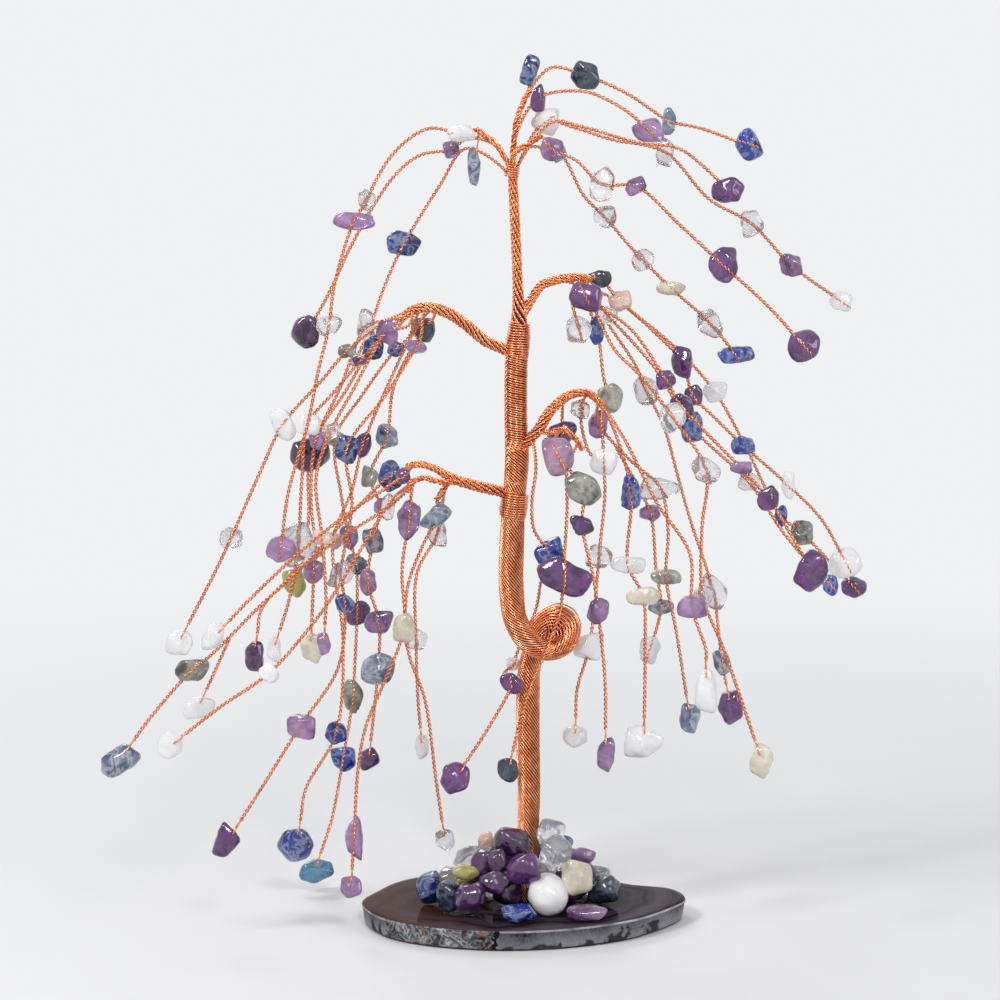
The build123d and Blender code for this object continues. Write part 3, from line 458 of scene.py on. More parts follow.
def hull_of(corners, power=pebble_power):
    """A chip's middle, and its shape: its planes, the stretch to fill its box, and the power."""
    shell = bmesh.new()
    bmesh.ops.convex_hull(shell, input=[shell.verts.new(corner) for corner in corners])
    low, high = np.array(corners).min(0), np.array(corners).max(0)
    middle = (low + high) / 2
    planes = {}
    for face in shell.faces:
        face.normal_update()
        key = tuple(round(value, 1) for value in face.normal)
        reach = face.normal.dot(Vector(face.verts[0].co) - Vector(middle))
        planes[key] = (*face.normal, reach)
    shell.free()
    planes = np.array([plane for plane in planes.values() if plane[3] > 1e-5])
    spots = ball_spots * reach_of(planes, ball_spots, power)[:, None]
    stretch = (high - low) / (spots.max(0) - spots.min(0))
    shift = Vector(middle - stretch * (spots.max(0) + spots.min(0)) / 2)
    return shift, (planes, stretch, power)


def surface_of(shape, directions):
    """Where a pebble's surface lies from its middle, in each of the directions."""
    planes, stretch, power = shape
    return directions * reach_of(planes, directions, power)[:, None] * stretch


def pebbles(name, stones):
    """One mesh of tumbled pebbles, each with its look and its own tone from 0 to 1."""
    points, faces, looks, tones = [], [], [], []
    names = sorted({look for _, _, look in stones})
    for middle, shape, look in stones:
        full = surface_of(shape, ball_spots)
        ripple = [noise.noise(Vector(spot) * ripple_size + middle * 500) for spot in ball_spots]
        spots = full * (1 - pebble_ripple * (0.5 + np.array(ripple)))[:, None]
        low, high = full.min(0), full.max(0)
        spots = low + (spots - spots.min(0)) * (high - low) / (spots.max(0) - spots.min(0))
        start = len(points)
        points.extend((spots + np.array(middle)).tolist())
        faces.extend([[start + corner for corner in face] for face in ball_faces])
        looks.extend([names.index(look)] * len(ball_faces))
        tones.extend([(noise.noise(middle * 4000) * 1.3 + 0.5) % 1] * len(ball_spots))
    piece = smooth_piece(name, points, faces)
    mesh = piece.data
    for look in names:
        mesh.materials.append(stone_materials[look])
    mesh.polygons.foreach_set("material_index", looks)
    mesh.attributes.new("stone_tone", "FLOAT", "POINT").data.foreach_set("value", tones)
    return piece


def filler(spot, sizes, turn):
    """A small chip wedged between the others: its middle and its shape."""
    corners = []
    for step in range(filler_corners):
        rise = 1 - 2 * (step + 0.5) / filler_corners
        angle = filler_turn * step + turn
        flat = sqrt(1 - rise**2)
        corner = (flat * cos(angle) * sizes[0], flat * sin(angle) * sizes[1], rise * sizes[2])
        corners.append(Vector(spot) + Vector(corner) / 2)
    return hull_of(corners)


stone_slots = {"amethyst": "amethyst", "lapis": "lapis", "quartz": "quartz", "mixed": "mixed_stone"}
for kind, looks in heap_looks.items():
    stones = []
    for look, corners in zip(looks, chips_of("base_" + kind)):
        stones.append((*hull_of(corners, milk_power if look == "milk" else pebble_power), look))
    for turn, (kind_of_filler, look, spot, sizes) in enumerate(heap_fillers):
        if kind_of_filler == kind:
            stones.append((*filler(spot, sizes, turn), look))
    piece = pebbles("heap_of_" + kind, stones)
    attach(piece, "tree")
    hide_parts("base_" + kind)


# The trunk: copper wires twisted side by side, which come down from the crown, turn in one curl
# like a snail's shell and stand on the slice. The leader above it is twisted pairs. Stops are
# marks of a view a thousand marks wide, with the depth behind the trunk and the bundle's radius.
wire_radius = 0.00025
mark = 0.0003
eye_distance = 0.95
eye_height = 0.2515
aim_height = 0.1295
base_across = 524.5
foot_rise = 0.0156
route_steps = 12
wobble_shift, ply_turn = 3.7, 0.37


def seen_at(across, down, back):
    """The point seen at a mark of the thousand-mark view, at a depth behind the trunk."""
    drop = eye_height - aim_height
    reach = sqrt(eye_distance**2 + drop**2)
    pitch = atan2(drop, eye_distance)
    side = (across - 500) * mark / reach
    rise = (500 - down) * mark / reach
    run = (eye_distance + back * mark) / (cos(pitch) + rise * sin(pitch))
    return Vector((
        (500 - base_across) * mark + side * run, back * mark,
        eye_height + run * (rise * cos(pitch) - sin(pitch))))


def place(across, down, back):
    """The seen point, with the whole tree lifted so that its foot stands over the slice."""
    lift = slice_thickness + foot_rise - seen_at(528, 850, 0).z
    return seen_at(across, down, back) + Vector((0, 0, lift))


class Route:
    """A smooth line through stops, each a point with the bundle's radius there."""

    def __init__(self, stops, radii, steps=route_steps):
        line = smooth([(*stop, radius) for stop, radius in zip(stops, radii)], steps)
        self.spots = [Vector(spot[:3]) for spot in line]
        self.girths = [float(spot[3]) for spot in line]
        self.lengths = [0.0]
        for low, high in zip(self.spots, self.spots[1:]):
            self.lengths.append(self.lengths[-1] + (high - low).length)

    def step(self, share):
        """The stretch of the line that a share of its length lies in, and how far along it."""
        reach = share * self.lengths[-1]
        for low in range(len(self.spots) - 1):
            if reach <= self.lengths[low + 1]:
                break
        return low, (reach - self.lengths[low]) / (self.lengths[low + 1] - self.lengths[low])

    def spot(self, share):
        low, part = self.step(share)
        return self.spots[low].lerp(self.spots[low + 1], part)

    def radius(self, share):
        low, part = self.step(share)
        return self.girths[low] + (self.girths[low + 1] - self.girths[low]) * part

    def heading(self, share):
        low, _ = self.step(share)
        return (self.spots[low + 1] - self.spots[low]).normalized()

    def nearest(self, point):
        """The share along the line that lies nearest to a point."""
        index = min(range(len(self.spots)), key=lambda k: (self.spots[k] - point).length)
        return self.lengths[index] / self.lengths[-1]

    def leave(self, share, toward, clear):
        """A point beside the line, on the side that faces the next point."""
        spot, heading = self.spot(share), self.heading(share)
        outward = toward - spot
        outward = (outward - heading * outward.dot(heading)).normalized()
        return spot + outward * clear

    def path(self):
        return list(zip(self.spots, self.girths))


def wire_laying_tree():
    """Lays lines of wire side by side round a path, and plies round each line."""
    tree = bpy.data.node_groups.new("wire_laying", "GeometryNodeTree")
    for label, kind in (
        ("Path", "Geometry"), ("Lines", "Int"), ("Line Lay", "Float"), ("Plies", "Int"),
        ("Ply Lay", "Float"), ("Ply Spread", "Float"), ("Wire Radius", "Float"),
        ("Wire Sides", "Int"), ("Step", "Float"), ("With Core", "Bool"), ("Core Share", "Float"),
        ("Wobble", "Float"), ("Wobble Scale", "Float"), ("Copper", "Material"),
        ("Painted Shade", "Material"),
    ):
        tree.interface.new_socket(label, in_out="INPUT", socket_type="NodeSocket" + kind)
    tree.interface.new_socket("Wires", in_out="OUTPUT", socket_type="NodeSocketGeometry")
    recipe = Recipe(tree)
    add, link, number = recipe.add, recipe.link, recipe.number
    given = add("NodeGroupInput").outputs

    def vector(operation, first, second):
        step = add("ShaderNodeVectorMath", {"operation": operation})
        recipe.feed(step.inputs[0], first)
        recipe.feed(step.inputs["Scale" if operation == "SCALE" else 1], second)
        return step.outputs[0]

    def captured(geometry, *items):
        node = add("GeometryNodeCaptureAttribute", Geometry=geometry)
        for label, kind, source, output in items:
            node.capture_items.new(kind, label)
            link(add(source).outputs[output], node.inputs[label])
        return node.outputs

    def moved(geometry, offset):
        return add("GeometryNodeSetPosition", Geometry=geometry, Offset=offset).outputs[0]

    def laid_round(curve, amount, lay, spread, turn):
        kept = captured(
            curve, ("Normal", "VECTOR", "GeometryNodeInputNormal", 0),
            ("Tangent", "VECTOR", "GeometryNodeInputTangent", 0),
            ("Length", "FLOAT", "GeometryNodeSplineParameter", 1))
        copies = add("GeometryNodeDuplicateElements", {"domain": "SPLINE"},
                     Geometry=kept["Geometry"], Amount=amount).outputs
        index = copies["Duplicate Index"]
        along = number("DIVIDE", kept["Length"], lay)
        turns = number("ADD", number("DIVIDE", index, amount), along)
        angle = number("MULTIPLY", number("ADD", turns, turn), 2 * pi)
        across = vector("CROSS_PRODUCT", kept["Tangent"], kept["Normal"])
        ahead = number("MULTIPLY", number("COSINE", angle), spread)
        beside = number("MULTIPLY", number("SINE", angle), spread)
        ahead, beside = vector("SCALE", kept["Normal"], ahead), vector("SCALE", across, beside)
        return moved(copies["Geometry"], vector("ADD", ahead, beside)), index

    def swept(curve, ring, material, **scale):
        mesh = add("GeometryNodeCurveToMesh", Curve=curve, Profile_Curve=ring.outputs["Curve"],
                   Fill_Caps=True, **scale).outputs[0]
        return add("GeometryNodeSetMaterial", Geometry=mesh, Material=material).outputs[0]

    sampled = add("GeometryNodeResampleCurve", {"mode": "LENGTH"}, Curve=given["Path"],
                  Length=given["Step"])
    girth = captured(sampled.outputs["Curve"], ("Girth", "FLOAT", "GeometryNodeInputRadius", 0))
    room = number("SUBTRACT", girth["Girth"], given["Wire Radius"])
    room = number("SUBTRACT", room, given["Ply Spread"])
    lines, index = laid_round(girth["Geometry"], given["Lines"], given["Line Lay"], room, 0.0)
    uneven = add("ShaderNodeTexNoise", {"noise_dimensions": "4D"}, Scale=given["Wobble Scale"],
                 Vector=add("GeometryNodeInputPosition").outputs[0],
                 W=number("MULTIPLY", index, wobble_shift))
    centred = vector("SUBTRACT", uneven.outputs["Color"], (0.5, 0.5, 0.5))
    lines = moved(lines, vector("SCALE", centred, given["Wobble"]))
    plies, _ = laid_round(lines, given["Plies"], given["Ply Lay"], given["Ply Spread"],
                          number("MULTIPLY", index, ply_turn))
    ring = add("GeometryNodeCurvePrimitiveCircle", Resolution=given["Wire Sides"],
               Radius=given["Wire Radius"])
    disc = add("GeometryNodeCurvePrimitiveCircle", Resolution=12, Radius=1.0)
    swell = number("MULTIPLY", girth["Girth"], given["Core Share"])
    wires = swept(plies, ring, given["Copper"])
    # The core under the wires carries the painted shade, which shows dark in the gaps between them.
    core = swept(girth["Geometry"], disc, given["Painted Shade"], Scale=swell)
    choice = add("GeometryNodeSwitch", {"input_type": "GEOMETRY"}, Switch=given["With Core"])
    link(core, choice.inputs["True"])
    both = add("GeometryNodeJoinGeometry")
    link(wires, both.inputs[0])
    link(choice.outputs[0], both.inputs[0])
    soft = add("GeometryNodeSetShadeSmooth", Geometry=both.outputs[0])
    real = add("GeometryNodeRealizeInstances", Geometry=soft.outputs[0])
    link(real.outputs[0], add("NodeGroupOutput").inputs["Wires"])
    return tree


wire_laying = wire_laying_tree()


def copper_material(name, bright, dull, roughness, metal):
    """Bare copper wire, a warm bright metal duller and redder in soft patches; also the near-black
    painted shade between wires.
    """
    finish = Finish(name, 420, roughness)
    clouds = finish.marks["Clouds"]
    return finish.dressed(
        Base_Color=finish.mixed(clouds, bright, dull),
        Roughness=finish.number("MULTIPLY_ADD", clouds, 0.12, roughness),
        Normal=finish.bumped(finish.marks["Grit"], 0.08, 0.00005), Metallic=metal,
        Coat_Weight=0.25 * metal, Coat_Roughness=0.12)


copper = copper_material("copper_wire", (0.97, 0.45, 0.23), (0.7, 0.2, 0.075), 0.2, 1)
strand_copper = copper_material("copper_pairs", (0.8, 0.31, 0.14), (0.6, 0.17, 0.065), 0.22, 1)
# Painted shade: a near-black, not metal colour on the core under the wires, standing in for the
# shade in the grooves between them.
painted_groove_shade = copper_material("painted_shade_in_the_grooves", (0.1, 0.016, 0.006), (0.05, 0.008, 0.003), 0.7, 0)


def laid_wires(name, paths, **sizes):
    """Wires laid along paths by the node tree, as one plain mesh."""
    curve = bpy.data.curves.new(name + "_paths", "CURVE")
    curve.dimensions = "3D"
    for path in paths:
        spline = curve.splines.new("POLY")
        spline.points.add(len(path) - 1)
        for point, (spot, radius) in zip(spline.points, path):
            point.co = (*spot, 1)
            point.radius = radius
    carrier = in_scene(name + "_paths", curve)
    values = {
        "Lines": 2, "Line Lay": 0.003, "Plies": 1, "Ply Lay": 0.003, "Ply Spread": 0.0,
        "Wire Radius": wire_radius, "Wire Sides": 5, "Step": 0.0004, "With Core": False,
        "Core Share": 0.8, "Wobble": 0.0, "Wobble Scale": 200.0, "Copper": copper, "Painted Shade": painted_groove_shade,
    }
    values.update({label.replace("_", " ").title(): value for label, value in sizes.items()})
    modifier = carrier.modifiers.new("wires", "NODES")
    modifier.node_group = wire_laying
    for item in wire_laying.interface.items_tree:
        if item.in_out == "INPUT" and item.name in values:
            modifier[item.identifier] = values[item.name]
    depsgraph = bpy.context.evaluated_depsgraph_get()
    mesh = bpy.data.meshes.new_from_object(carrier.evaluated_get(depsgraph))
    bpy.data.objects.remove(carrier)
    mesh.name = name
    return in_scene(name, mesh)


def welded(name, *parts):
    """Several meshes made one piece."""
    first = parts[0]
    with bpy.context.temp_override(active_object=first, object=first, selected_objects=parts,
                                   selected_editable_objects=parts):
        bpy.ops.object.join()
    first.name = first.data.name = name
    return first


trunk_stops = [
    (528, 850, 0, 10.5), (529, 790, 0, 11.5), (528, 740, 0, 12.0), (528, 696, 3, 12.0),
    (529, 671, 9, 11.5), (533, 652, 13, 11.0), (539, 633, 13, 9.0), (546, 619, 9, 8.0),
    (557, 613, 4, 8.0), (568, 618, -1, 8.0), (572, 631, -6, 8.0), (568, 644, -8, 8.0),
    (556, 650, -11, 9.5), (540, 648, -14, 11.5), (525, 637, -12, 12.0), (515, 618, -5, 12.0),
    (512, 597, -1, 12.5), (511, 575, 0, 12.5), (512, 540, 0, 12.5), (514, 500, 0, 11.5),
    (517, 460, 0, 12.0), (516, 420, 0, 11.5), (516, 380, 0, 11.5), (517, 350, 0, 11.0),
    (519, 322, 0, 8.5), (518, 290, 0, 5.8), (515, 220, 0, 5.4), (512, 165, 0, 5.0),
]
foot = place(*trunk_stops[0][:3])
foot.y = 0
foot.z = slice_thickness + 0.0002
trunk_spots = [foot] + [place(*stop[:3]) for stop in trunk_stops]
trunk_girths = [stop[3] * mark for stop in trunk_stops[:1] + trunk_stops]
routes = {"trunk": Route(trunk_spots, trunk_girths)}
trunk_path = routes["trunk"].path()
trunk_across, above_curl = 512, 590
curl_wires_a_side = 11


def stretch_of_trunk(low, high, swell=0.0):
    """The part of the trunk's path between two heights of the view above the curl."""
    curl_top, low, high = [place(trunk_across, down, 0).z for down in (above_curl, low, high)]
    above = max(k for k, (spot, _) in enumerate(trunk_path) if spot.z < curl_top)
    return [(spot, girth + swell) for spot, girth in trunk_path[above:] if low <= spot.z <= high]


def beside_trunk(low, high, aside, back):
    """A line along the trunk's surface between two heights, on the side that the shares give."""
    side = Vector((aside, back, 0))
    return [(spot + side * girth, 2 * wire_radius) for spot, girth in stretch_of_trunk(low, high)]


def curl_wires(facing):
    """Wires that fan out over one side of the curl, from its pinched throat to its lower edge."""
    outer = [(536, 640, -13), (528, 626, 0), (540, 611, 4), (558, 603.5, 3), (574, 610, 0),
             (580.5, 624, -4), (577.5, 641, -8), (571, 651, -12), (570, 652, -8)]
    inner = [(541, 643, -13), (543, 638, -4), (546, 636, -2), (549, 636, -2), (551, 638, -4),
             (551, 641, -8), (548, 648, -18), (543, 660, -20), (543, 662, -12)]
    swells = [0, 5, 9, 12, 13, 13, 11, 6, 0]
    paths = []
    for wire in range(curl_wires_a_side):
        share = (wire / (curl_wires_a_side - 1)) ** 0.85
        bulge = max(sin(0.93 * pi * share**1.5), 0.1)
        stops = []
        for low, high, swell in zip(inner, outer, swells):
            across, down, back = [a + (b - a) * share for a, b in zip(low, high)]
            back += -swell * bulge if facing < 0 else swell * bulge + 4
            stops.append((*place(across, down, back), wire_radius))
        paths.append([(Vector(spot[:3]), wire_radius) for spot in smooth(stops, 8)])
    return paths


def curl_inside(facing):
    """Upright lines inside the curl: a filling in painted shade, or the wires on one of its sides.
    """
    side = facing * 3.2 - 3
    girth = wire_radius if facing else 2.8 * mark
    paths = []
    for across in (548, 551, 554, 557, 560, 563, 566):
        stops = [(across - 3, 616, side), (across, 625, side), (across + 1, 634, side),
                 (across - 6, 650, side - 3)]
        line = smooth([tuple(place(*stop)) for stop in stops], 6)
        paths.append([(Vector(spot), girth) for spot in line])
    return paths


fork = trunk_path.index(stretch_of_trunk(335, 300)[0])
over_curl = curl_wires(-1) + curl_wires(1) + curl_inside(-1) + curl_inside(1)
# The cores of these bundles carry the painted shade colour, dark in the gaps between the wires.
bundle = {"with_core": True, "core_share": 0.86}
curl_bundle = {"step": 0.0006, "with_core": True, "core_share": 0.85}
pairs = {"plies": 2, "ply_spread": 0.00024}
rope = {**pairs, "lines": 7, "with_core": True, "core_share": 0.6}
trunk = welded(
    "trunk_wires",
    laid_wires("trunk_foot", [trunk_path[:8 * route_steps]], lines=23, line_lay=-0.028,
               step=0.0006, wire_radius=0.00027, wobble=0.0002, **bundle),
    laid_wires("curl_core", [trunk_path[7 * route_steps:14 * route_steps]], lines=20,
               line_lay=-0.03, wire_radius=0.00026, **curl_bundle),
    # Painted shade: near-black cores that fill the curl's hollow, where there is only shade.
    laid_wires("curl_painted_shade", curl_inside(0), lines=0, **curl_bundle),
    laid_wires("trunk_lower", [trunk_path[13 * route_steps:-len(stretch_of_trunk(478, 100))]],
               lines=24, line_lay=-0.028, step=0.0006, wire_radius=0.00028, wobble=0.0002,
               **bundle),
    laid_wires("trunk_middle", [stretch_of_trunk(484, 440, 0.00005)], lines=18, line_lay=-0.016,
               step=0.0005, wire_radius=0.00027, wobble=0.0003, **bundle),
    laid_wires("trunk_wrap", [stretch_of_trunk(452, 335, 0.0001)], lines=6, line_lay=-0.0042,
               step=0.0002, wire_radius=0.00026, wobble=0.0005, **bundle),
    laid_wires("trunk_leader", [trunk_path[fork:]], line_lay=-0.02, step=0.0005, wobble=0.0003,
               **rope),
    laid_wires("trunk_curl", over_curl, lines=1, wobble=0.0001, step=0.0006),
    laid_wires("trunk_side_pairs", [beside_trunk(492, 352, -0.86, -0.6)], line_lay=0.0028,
               wire_radius=0.00022))
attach(trunk, "tree")
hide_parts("trunk")


# The boughs: ropes of twisted pairs that leave the trunk and carry the fans of strands. Each is
# held where it starts by the wire that is wound round the trunk.
bough_stops = {
    "upper_left_bough": [
        (505, 352, -4, 6.0), (484, 340, -8, 6.0), (465, 324, -10, 6.0), (446, 312, -12, 6.0),
        (427, 307, -10, 5.5), (411, 311, -8, 5.0), (402, 318, -6, 4.5)],
    "lower_left_bough": [
        (499, 494, -6, 6.0), (477, 486, -12, 6.0), (460, 481, -14, 5.5), (448, 476, -15, 5.0),
        (434, 468, -16, 4.0), (418, 464, -16, 4.0), (406, 467, -16, 3.5)],
    "upper_right_bough": [
        (526, 314, 0, 5.0), (533, 297, -1, 5.0), (542, 285, -2, 5.0), (556, 280, -3, 5.0),
        (576, 277, -4, 4.5), (591, 279, -4, 4.0)],
    "middle_right_bough": [
        (529, 446, -8, 6.0), (538, 430, -12, 6.0), (551, 410, -14, 5.5), (570, 395, -14, 5.0),
        (588, 393, -12, 4.5), (603, 405, -10, 4.0)],
}
for name, stops in bough_stops.items():
    spots = [place(*stop[:3]) for stop in stops]
    share = routes["trunk"].nearest(spots[0])
    start = routes["trunk"].leave(share, spots[1], 0.5 * routes["trunk"].radius(share))
    routes[name] = Route([start] + spots[1:], [stop[3] * mark for stop in stops])
    bough = laid_wires(name + "_wires", [routes[name].path()], line_lay=0.022, wobble=0.0004,
                       **rope)
    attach(bough, "tree")
    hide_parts(name)


# The shoots: the last few pairs of a bough or of the leader, twisted on by themselves before
# they fan out into single strands. Each leaves its carrier at a share of that one's length.
shoot_radius = 0.00105
last_share = 0.995
shoot_stops = {
    "lower_fork": ("lower_left_bough", 0.48, [
        (440, 482, -24), (424, 478, -28), (412, 482, -32), (407, 492, -36)]),
    "side_shoot": ("lower_left_bough", 0.38, [(449, 482, -4), (443, 490, -3), (436, 500, -2)]),
    "second_bough": ("middle_right_bough", 0.22, [
        (551, 432, -26), (562, 429, -28), (574, 437, -28), (583, 450, -28)]),
    "left_twig": ("trunk", 1.0, [(500, 150, 0), (495, 143, 0), (476, 129, 0)]),
    "right_twig": ("trunk", 1.0, [(514, 142, 8), (517, 120, 6), (524, 101, 6), (531, 88, 6)]),
    "low_right_twig": ("trunk", 1.0, [(516, 152, -8), (530, 143, -4), (541, 135, -4)]),
}
for name, (carrier, share, stops) in shoot_stops.items():
    spots = [place(*stop) for stop in stops]
    below = routes[carrier].spot(max(share - 0.06, 0))
    share = min(share, last_share)
    low = routes[carrier].leave(share, spots[0], 0.3 * routes[carrier].radius(share))
    routes[name] = Route([below, low] + spots, [shoot_radius] * (len(spots) + 2))
shoots = laid_wires("shoot_wires", [routes[name].path() for name in shoot_stops], lines=3,
                    line_lay=0.012, wobble=0.0003, **pairs)
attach(shoots, "tree")
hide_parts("shoots")


# The bindings: single wires wound tightly round the trunk where a bough or twig leaves it. Each
# has its lower and upper end in marks, with the radius there, and its number of turns.
bindings = [
    (517, 357, 12.6, 519, 322, 10.4, 14), (513, 518, 13.8, 515, 492, 13.5, 11),
    (512, 178, 6.9, 512, 166, 6.6, 5),
]
binding_steps = 24
steps_a_turn = 28
wound = []
for across, down, radius, high_across, high, high_radius, turns in bindings:
    low, top = place(across - 1, down, 0), place(high_across + 1, high, 0)
    lay = (top - low).length / turns
    path = []
    for step in range(binding_steps + 1):
        share = step / binding_steps
        uneven = 1 + 0.05 * noise.noise(Vector((0, down, share * 11)))
        girth = (radius + (high_radius - radius) * share) * mark * uneven
        taper = 1 - 0.1 * abs(2 * share - 1) ** 3
        path.append((low.lerp(top, share), girth * taper + wire_radius))
    wound.append(laid_wires("binding", [path], lines=1, line_lay=lay, step=lay / steps_a_turn,
                            wobble=0.0007, wobble_scale=300.0, wire_sides=6))
binding = welded("binding_wires", *wound)
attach(binding, "tree")
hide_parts("bindings")


